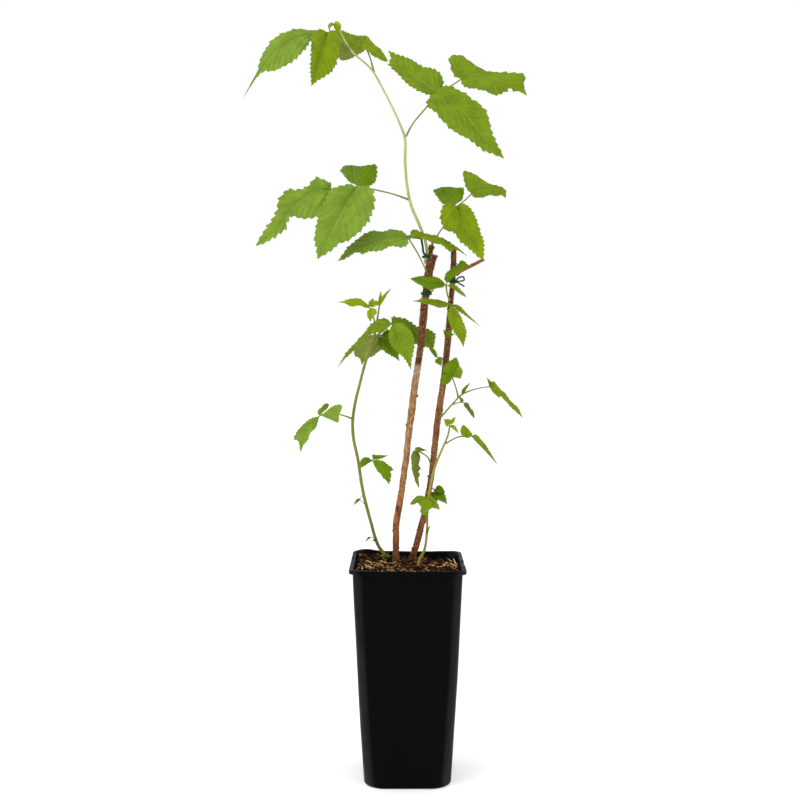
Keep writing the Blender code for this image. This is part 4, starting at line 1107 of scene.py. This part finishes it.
def leaf_surface(name, colour, vein):
    """A leaf's upper or under side. The UV map's first number counts the side veins and its
    second goes from one margin over the midrib to the other."""
    made = new_material(name, 0.55, 0.08)
    uv = parts_of(on_map())
    counted = sums("FRACT", uv["X"])
    off_middle = sums("ABSOLUTE", sums("SUBTRACT", counted, 0.5))
    side_vein = between(off_middle, 0.462, 0.49)
    midrib = between(sums("ABSOLUTE", uv["Y"]), 0.010, 0.040, 1.0, 0.0)
    veins = sums("MAXIMUM", side_vein, midrib)
    net = add_node("TexVoronoi", {"Vector": stretched((520.0, 520.0, 520.0)), "Scale": 1.0},
                   feature="DISTANCE_TO_EDGE").outputs["Distance"]
    mesh_veins = between(net, 0.0, 0.16, 1.0, 0.0)
    cloudy = clouds(75.0, 4.0)
    blade_green = mixed(between(cloudy, 0.3, 0.7), tint(colour, 0.93), tint(colour, 1.06))
    # Painted shade: the green darkens towards each side vein, and more on its side towards the tip, as if
    # the pleats were shaded from light above.
    painted_shade_by_veins = between(off_middle, 0.20, 0.46, 0.0, 0.20)
    painted_shade_past_veins = between(counted, 0.02, 0.45, 0.46, 0.0)
    uneven = between(clouds(48.0, 2.0), 0.38, 0.62, 0.15, 1.0)
    painted_pleat_shade = times(sums("MAXIMUM", painted_shade_by_veins, painted_shade_past_veins), uneven)
    pleat_shaded_green = mixed(painted_pleat_shade, blade_green, tint(colour, 0.70))
    lined = mixed(times(mesh_veins, 0.30), pleat_shaded_green, tint(colour, 0.72))
    paint(mixed(times(veins, 0.70), lined, shade(*vein)))
    join_to(between(cloudy, 0.3, 0.7, 0.46, 0.64), shader["Roughness"])
    puckers = plus(times(mesh_veins, -0.6), times(veins, -0.7))
    relief(plus(puckers, clouds(900.0, 2.0)), 0.00025)
    return made


SURFACES = {name: leaf_surface("leaf_" + name, *colours) for name, colours in GREENS.items()}
stalk_green = green_skin("leaf_stalk", (106, 116, 34), (140, 146, 62))


def outline(share):
    """Half-width along the midrib, as a share of the greatest: round below, drawn out above."""
    share = np.clip(share, 0, 1)
    return np.abs(np.sin(math.pi * share ** 0.75)) ** 0.8 * (1 - 0.35 * share ** 3)


def frame_of(leaflet):
    """A leaflet's base and tip, and the directions of its midrib, its upper side and its width."""
    base, tip = place(*leaflet["base"]), place(*leaflet["tip"])
    axis = (tip - base).normalized()
    front = Vector((0, -1, 0))
    facing = (front - axis * front.dot(axis)).normalized()
    turn = math.radians(leaflet["turn"])
    face = facing * math.cos(turn) + axis.cross(front).normalized() * math.sin(turn)
    return base, tip, axis, face, face.cross(axis)


def on_sheet(spots, shares, depths):
    """Points at shares of the length of a soft curve through spots of the sheet."""
    flat = soft_curve(np.array(spots, dtype=float), shares)
    return np.array([place(x, y, depth) for (x, y), depth in zip(flat, depths)])


def blade_lines(leaflet, shares):
    """A leaflet's midrib, its two margins and its upper side's directions, at shares of it."""
    base, tip, axis, face, side = (np.array(v) for v in frame_of(leaflet))
    length = np.linalg.norm(tip - base)
    half = leaflet["width"] * MM / 2
    fold = math.radians(leaflet["fold"])
    drip = leaflet["drip"]
    full = outline(shares / (1 - drip))
    full[shares > 1 - drip] = 0
    reach = half * np.maximum(full, TAIL_WIDTH * np.clip((1 - shares) / max(drip, 0.02), 0, 1) ** 0.7)
    reach = np.where(shares < 0.5, half * full, reach)
    bow = 4 * shares * (1 - shares)
    bend = np.outer(leaflet["arch"] * MM * bow, face)
    rise = reach * math.sin(fold)
    if leaflet["left"]:
        start, end = leaflet["base"], leaflet["tip"]
        depth = start[2] + (end[2] - start[2]) * shares + bend[:, 1] / MM
        rib = on_sheet([start[:2], *leaflet["rib"], end[:2]], shares, depth)
        near, far = leaflet["left"], leaflet["right"]
        if face[1] > 0:
            near, far = far, near
        margins = []
        for hand, edge in ((-1, far), (1, near)):
            spots = [start[:2], *edge, end[:2]]
            apart = np.linalg.norm(on_sheet(spots, shares, depth) - rib, axis=1)
            own = np.minimum(reach, apart / max(math.sqrt(1 - side[1] ** 2), 0.3))
            shift = (hand * side[1] * math.cos(fold) + face[1] * math.sin(fold)) * own / MM
            margins.append(on_sheet(spots, shares, depth + shift))
    else:
        rib = base + np.outer(shares * length, axis) + bend - np.outer(rise / 2, face)
        lobe = length * LOBE * (1 - shares) * full
        margins = [rib + np.outer(hand * reach * math.cos(fold), side) + np.outer(rise, face)
                   - np.outer(lobe, axis) for hand in (-1, 1)]
    along = np.gradient(rib, axis=0)
    normals = np.cross(margins[1] - margins[0], along)
    normals /= np.linalg.norm(normals, axis=1)[:, None] + 1e-12
    normals *= np.sign(normals @ face)[:, None]
    normals[0] = normals[1]
    normals[-1] = normals[-2]
    return rib, margins, normals, length


def make_blade(name, leaflet, rng):
    """The thin toothed blade, from a grid with three rows for each tooth."""
    length = (place(*leaflet["tip"]) - place(*leaflet["base"])).length
    size = max(length, leaflet["width"] * MM)
    veins, columns = next(row[1:] for row in BLADE_DETAIL if size > row[0])
    teeth = 2 * veins
    shares = [0.0] + [(k + step) / teeth for k in range(teeth) for step in TOOTH_ROWS] + [1.0]
    shares = np.array(shares)
    rib, margins, normals, length = blade_lines(leaflet, shares)
    piece, column, row = grid(name, columns, len(shares) - 1)
    v = 2 * column / columns - 1
    u = shares[row]
    out = np.abs(v)
    hand = np.sign(v)
    spread = np.where((v > 0)[:, None], margins[1][row], margins[0][row]) - rib[row]
    reach = np.linalg.norm(spread, axis=1)
    runs, aways = [], []
    for edge in margins:
        run = np.gradient(edge, axis=0)
        run /= np.linalg.norm(run, axis=1)[:, None] + 1e-12
        away = np.cross(normals, run)
        runs.append(run)
        aways.append(away * np.sign(((edge - rib) * away).sum()))
    outward = np.where((v > 0)[:, None], aways[1][row], aways[0][row])
    onward = np.where((v > 0)[:, None], runs[1][row], runs[0][row])
    half = max(reach.max(), 1e-4)
    step = np.array([MARGIN_LEVEL, *TOOTH_RISE * teeth, MARGIN_LEVEL])[row]
    tooth_number = np.maximum(row - 1, 0) // 3
    big = np.array([rng.uniform(*(SMALL_TEETH if k % 2 else BIG_TEETH))
                    for k in range(teeth + 2)])[tooth_number]
    fade = np.clip(u / 0.08, 0, 1) * np.clip((1 - leaflet["drip"] - u) / 0.05 + 0.3, 0.12, 1)
    rim = np.clip((out - TOOTHED_FROM) / (1 - TOOTHED_FROM), 0, 1)
    depth = min(TOOTH * size, 0.13 * half) + (0.0005 if size > 0.03 else 0.0008)
    tooth = depth * (step - MARGIN_LEVEL) * big * fade * rim
    lean = np.minimum(VEIN_LEAN * reach / length, 0.45)
    drift = rng.uniform(0, 6.28)
    warp = np.array([noise.noise(Vector((a * 3, b * 2, drift))) for a, b in zip(u, v)])
    phase = (u - lean * out) * veins + 0.45 * veins - 0.43 + 0.18 * hand + 0.3 * warp * out
    off = np.abs(phase - np.rint(phase))
    body = np.clip(reach / half * 1.5, 0, 1)
    pleat = PLEAT * size * (np.sin(math.pi * off) - 0.4) * np.clip(out * 5, 0, 1) * body
    wave = MARGIN_WAVE * half * np.sin(2 * math.pi * u * 2.3 + drift + hand) * out ** 2 * body
    puff = PUFF * half * np.array([noise.noise(Vector((a * 5, b * 2.2, drift))) for a, b in zip(u, v)])
    swell = SWELL * reach * np.sin(math.pi * out)
    lift = pleat + wave + puff * out * body + swell
    points = (rib[row] + spread * out[:, None] + outward * tooth[:, None]
              + onward * (0.35 * np.maximum(tooth, 0))[:, None] + normals[row] * lift[:, None])
    shaped(piece, points)
    lay_map(piece, phase, v)
    edited(piece, lambda: bpy.ops.mesh.remove_doubles(threshold=0.000005))
    return piece


def ribbed(name, leaflet, root):
    """The midrib, from the leaflet's root, just under the blade."""
    shares = np.array([0.0, 0.08, 0.25, 0.5, 0.75, 0.93, 1.0])
    rib, _, normals, length = blade_lines(leaflet, shares)
    slim = min(1.0, length / 0.05 + 0.25)
    path = [(root, STALK_RADIUS * slim)]
    for share, where, up in list(zip(shares, rib, normals))[1:-1]:
        path.append((Vector(where - up * RIB_RADIUS * slim * 0.6), RIB_RADIUS * slim * (1.05 - share)))
    return limb(name, path, RIB_SIDES, RIB_STEP)


def whole_blade(name, leaflet, rng, top, under):
    """A blade with its faces to its upper side, its thickness, and its felt underside."""
    piece = make_blade(name, leaflet, rng)
    total = Vector((0, 0, 0))
    for polygon in piece.data.polygons:
        total += polygon.normal * polygon.area
    if total.dot(frame_of(leaflet)[3]) < 0:
        edited(piece, bpy.ops.mesh.flip_normals)
    coated(piece, top, under)
    wall = piece.modifiers.new("thickness", "SOLIDIFY")
    wall.thickness = BLADE_THICKNESS
    wall.offset = -1
    wall.material_offset = 1
    wall.use_rim = True
    bpy.context.view_layer.objects.active = piece
    bpy.ops.object.modifier_apply(modifier="thickness")
    return piece


rng = random.Random(7)
for name, (carrier, spot, stalk, leaflets) in LEAVES.items():
    stalk_points = [place(*p) for p in stalk]
    start = rooted(paths[carrier], spot, stalk_points[0], STALK_RADIUS)
    reach = sum((b - a).length for a, b in zip([start] + stalk_points, stalk_points))
    thick = STALK_RADIUS * (1.0 if reach > 0.02 else 0.8)
    path = [(start, 1.5 * thick), *[(p, thick) for p in stalk_points[:-1]], (stalk_points[-1], 1.1 * thick)]
    group = [limb(name, path, STALK_SIDES, STALK_STEP)]
    for leaflet in leaflets:
        line = [stalk_points[-1]] + [place(*p) for p in leaflet["stalk"]]
        if leaflet["stalk"]:
            group.append(limb(name, [(p, 0.85 * STALK_RADIUS) for p in line], STALK_SIDES, STALK_STEP))
        group.append(ribbed(name, leaflet, line[-1]))
    for piece in group:
        coated(piece, stalk_green)
    for leaflet in leaflets:
        green = leaflet["green"] or rng.choice(["mid", "mid", "bright", "soft"])
        if name in YOUNG:
            green = "young"
        group.append(whole_blade(name, leaflet, rng, SURFACES[green], SURFACES["under"]))
    complete(group, name.replace("leaf", "foliage", 1), "young_leaf" if name in YOUNG else "leaf", name)

# The curled tip and the small buds
# At the very top a young leaf is still rolled up like a comma, with a smaller one beside it.
# Here and there on the shoots sit tiny leaves and green buds.
TINY_LEAVES = [
    blade((359.6, 499, 20), (353.5, 505.3, 14), 4, turn=30, arch=1),
    blade((374, 541, 27), (376, 536.5, 20), 3),
    blade((370, 537.3, 26), (365.3, 541.8, 22), 2.5, turn=20),
    blade((386.2, 558, 28), (388.5, 551.5, 24), 3, turn=-20),
    blade((385.5, 558, 27), (383.5, 553, 22), 3),
    blade((447, 337, 9), (443, 329.5, 6), 6, turn=20),
    blade((448.5, 336, 7), (452.5, 328.5, 3), 7, turn=-20),
    blade((449, 337, 7), (455, 334, 2), 5, turn=-30),
    blade((462.5, 394, 3), (470.5, 382.5, -4), 5, turn=-35),
    blade((427.2, 534, -6), (430.5, 525, -10), 3, turn=-30),
]
TINY_STALKS = [[(359.4, 499.2, 20), (362.6, 495.4, 23)], [(359.4, 499.2, 20), (364.2, 503.8, 24)],
               [(370, 537.3, 26), (375.3, 538.5, 29)], [(427.2, 537, -5), (427.4, 533, -7)]]
TIP_CURL = [(329.8, 31.0, -6, 0.5), (329.3, 28.5, -6, 1.0), (329.6, 25.8, -5, 1.9),
            (331.6, 24.2, -4, 2.0), (334.0, 24.6, -3, 1.1)]
TIP_LEAVES = [blade((339.5, 29.5, -1), (335, 21.2, 0), 8, turn=-50, arch=2, fold=35),
              blade((339.5, 29.5, -2), (334.5, 27.5, -7), 6, turn=20, arch=1, fold=30)]
TIP_LENGTH, TIP_THICKNESS, TIP_POINT = 0.0104, 0.0042, 0.12

young, deep = SURFACES["young"], SURFACES["deep"]
tip = paths["shoot_tall_upper"][-1][0] + Vector((-0.0008, 0, 0.0010))
rolled = [coated(bud("tip", tip, (-0.30, -0.1, 0.9), TIP_LENGTH, TIP_THICKNESS, TIP_POINT), young),
          coated(limb("tip_curl", stem_path(TIP_CURL), 8, 0.001), deep)]
rolled += [whole_blade("tip", leaflet, rng, young, young) for leaflet in TIP_LEAVES]
complete(rolled, "curled_tip", "young_leaf", "tip_bud")

sprouts = [coated(limb("sprout", [(place(*p), 0.4 * MM) for p in row], 6, 0.002), stalk_green)
           for row in TINY_STALKS]
sprouts += [whole_blade("sprout", leaflet, rng, deep, SURFACES["under"]) for leaflet in TINY_LEAVES]
complete(sprouts, "small_sprouts", "leaf")

# The ties
# Soft twine of dark green twisted fibre. Each tie is wound twice round what it holds and
# knotted, with short cut ends.
TWINE_RADIUS = 0.0009
FRAYED_RADIUS = 1.4 * TWINE_RADIUS
TWINE_STEP = 0.0006
TURN_STEPS = 24
# Each tie by its middle, its reach across and back (mm), and the run of its loose end
TIES = {
    "tie_tall_shoot": ((428.2, 257.0, 11.8), 6.3, 8.2, [(424.4, 254, 4), (422.6, 246, 3), (421.2, 238, 4)]),
    "tie_cane_left": ((426.3, 293.5, 7.5), 5.6, 5.6, [(430.0, 292.2, 2), (433.0, 290.6, 2)]),
    "tie_cane_right": ((452.9, 281.5, 12.0), 4.3, 4.3,
                       [(456.5, 282, 6), (461, 284.5, 4), (464.5, 286.5, 4)]),
}
BOW = [(455.5, 280.5, 7), (459, 277.6, 5), (463.5, 277, 4), (464.2, 279.8, 4), (460, 281.2, 5),
       (456, 281.2, 7)]

twine = new_material("green_twine", 0.9, 0.2)
uv = parts_of(on_map())
lay = sums("FRACT", plus(times(uv["X"], 3.0), times(uv["Y"], 900.0)))
strand = between(sums("ABSOLUTE", sums("SUBTRACT", lay, 0.5)), 0.1, 0.5)
fuzz = clouds(2600.0, 2.0)
paint(mixed(times(strand, fuzz), shade(18, 96, 56), shade(4, 46, 28)))
relief(sums("SUBTRACT", fuzz, strand), 0.0004)

for name, (centre, half_across, half_deep, tail) in TIES.items():
    middle = place(*centre)
    winds, knot = [], []
    for step in range(2 * TURN_STEPS + 2):
        angle = step / TURN_STEPS * 2 * math.pi - 1.2
        swell = 1 + 0.02 * math.sin(3 * angle)
        rise = (step / (2 * TURN_STEPS + 1) - 0.5) * 2.4 * TWINE_RADIUS + 0.0004 * math.sin(angle)
        winds.append(middle + Vector((math.cos(angle) * half_across * MM * swell,
                                      math.sin(angle) * half_deep * MM * swell, rise)))
    for step in range(TURN_STEPS + 2):
        angle = step / TURN_STEPS * 2 * math.pi
        knot.append(middle + Vector((0.0016 * math.sin(angle) + 0.0011 * math.sin(2 * angle),
                                     -half_deep * MM - 0.0006 - 0.0007 * math.sin(3 * angle),
                                     0.0015 * math.cos(angle) - 0.0009 * math.cos(2 * angle))))
    knot_end = middle + Vector((0.0008, -half_deep * MM - 0.0010, 0))
    strands = [winds, knot, [knot_end] + [place(*p) for p in tail]]
    if name == "tie_cane_right":
        strands.append([knot_end] + [place(*p) for p in BOW] + [knot_end])
    group = []
    for strand in strands:
        path = [(where, TWINE_RADIUS) for where in strand]
        if name == "tie_tall_shoot" and strand is strands[2]:
            path[1:] = [(where, FRAYED_RADIUS) for where in strand[1:]]
        group.append(coated(limb(name, path, 8, TWINE_STEP), twine))
    complete(group, name + "_twine", "green_twine", name)

# The floor and the light
# A plain pale floor that glows a little, an even white tent all round it, and a large soft lamp
# high up on each side.
FLOOR_SIZE = 60
FLOOR_GAP = 0.0005
FLOOR_GLOW = 0.28
AIM = Vector((0, 0, 0.45))
# Each lamp by its place, size and power
LAMPS = [((-1.6, -1.5, 1.9), 1.4, 22), ((1.7, -1.3, 1.7), 1.4, 8)]

bpy.ops.object.select_all(action="DESELECT")
bpy.ops.mesh.primitive_plane_add(size=FLOOR_SIZE, location=(0, 2, -FLOOR_GAP))
floor = bpy.context.object
floor.name = "studio_floor"
paper = new_material("white_paper", 0.9, 0.1)
shader["Emission Color"].default_value = (1.0, 1.0, 1.0, 1.0)
shader["Emission Strength"].default_value = FLOOR_GLOW
paint(mixed(clouds(3.0), shade(247, 247, 247), shade(250, 250, 250)))
floor.data.materials.append(paper)

for where, size, power in LAMPS:
    bpy.ops.object.light_add(type="AREA", location=where)
    lamp = bpy.context.object
    lamp.data.size = size
    lamp.data.energy = power
    lamp.rotation_euler = (AIM - Vector(where)).to_track_quat("-Z", "Y").to_euler()
world = bpy.data.worlds.new("white_tent")
bpy.context.scene.world = world
world.use_nodes = True
sky = world.node_tree.nodes["Background"]
sky.inputs["Color"].default_value = (1.0, 1.0, 1.0, 1.0)
bpy.context.scene.view_settings.view_transform = "Standard"
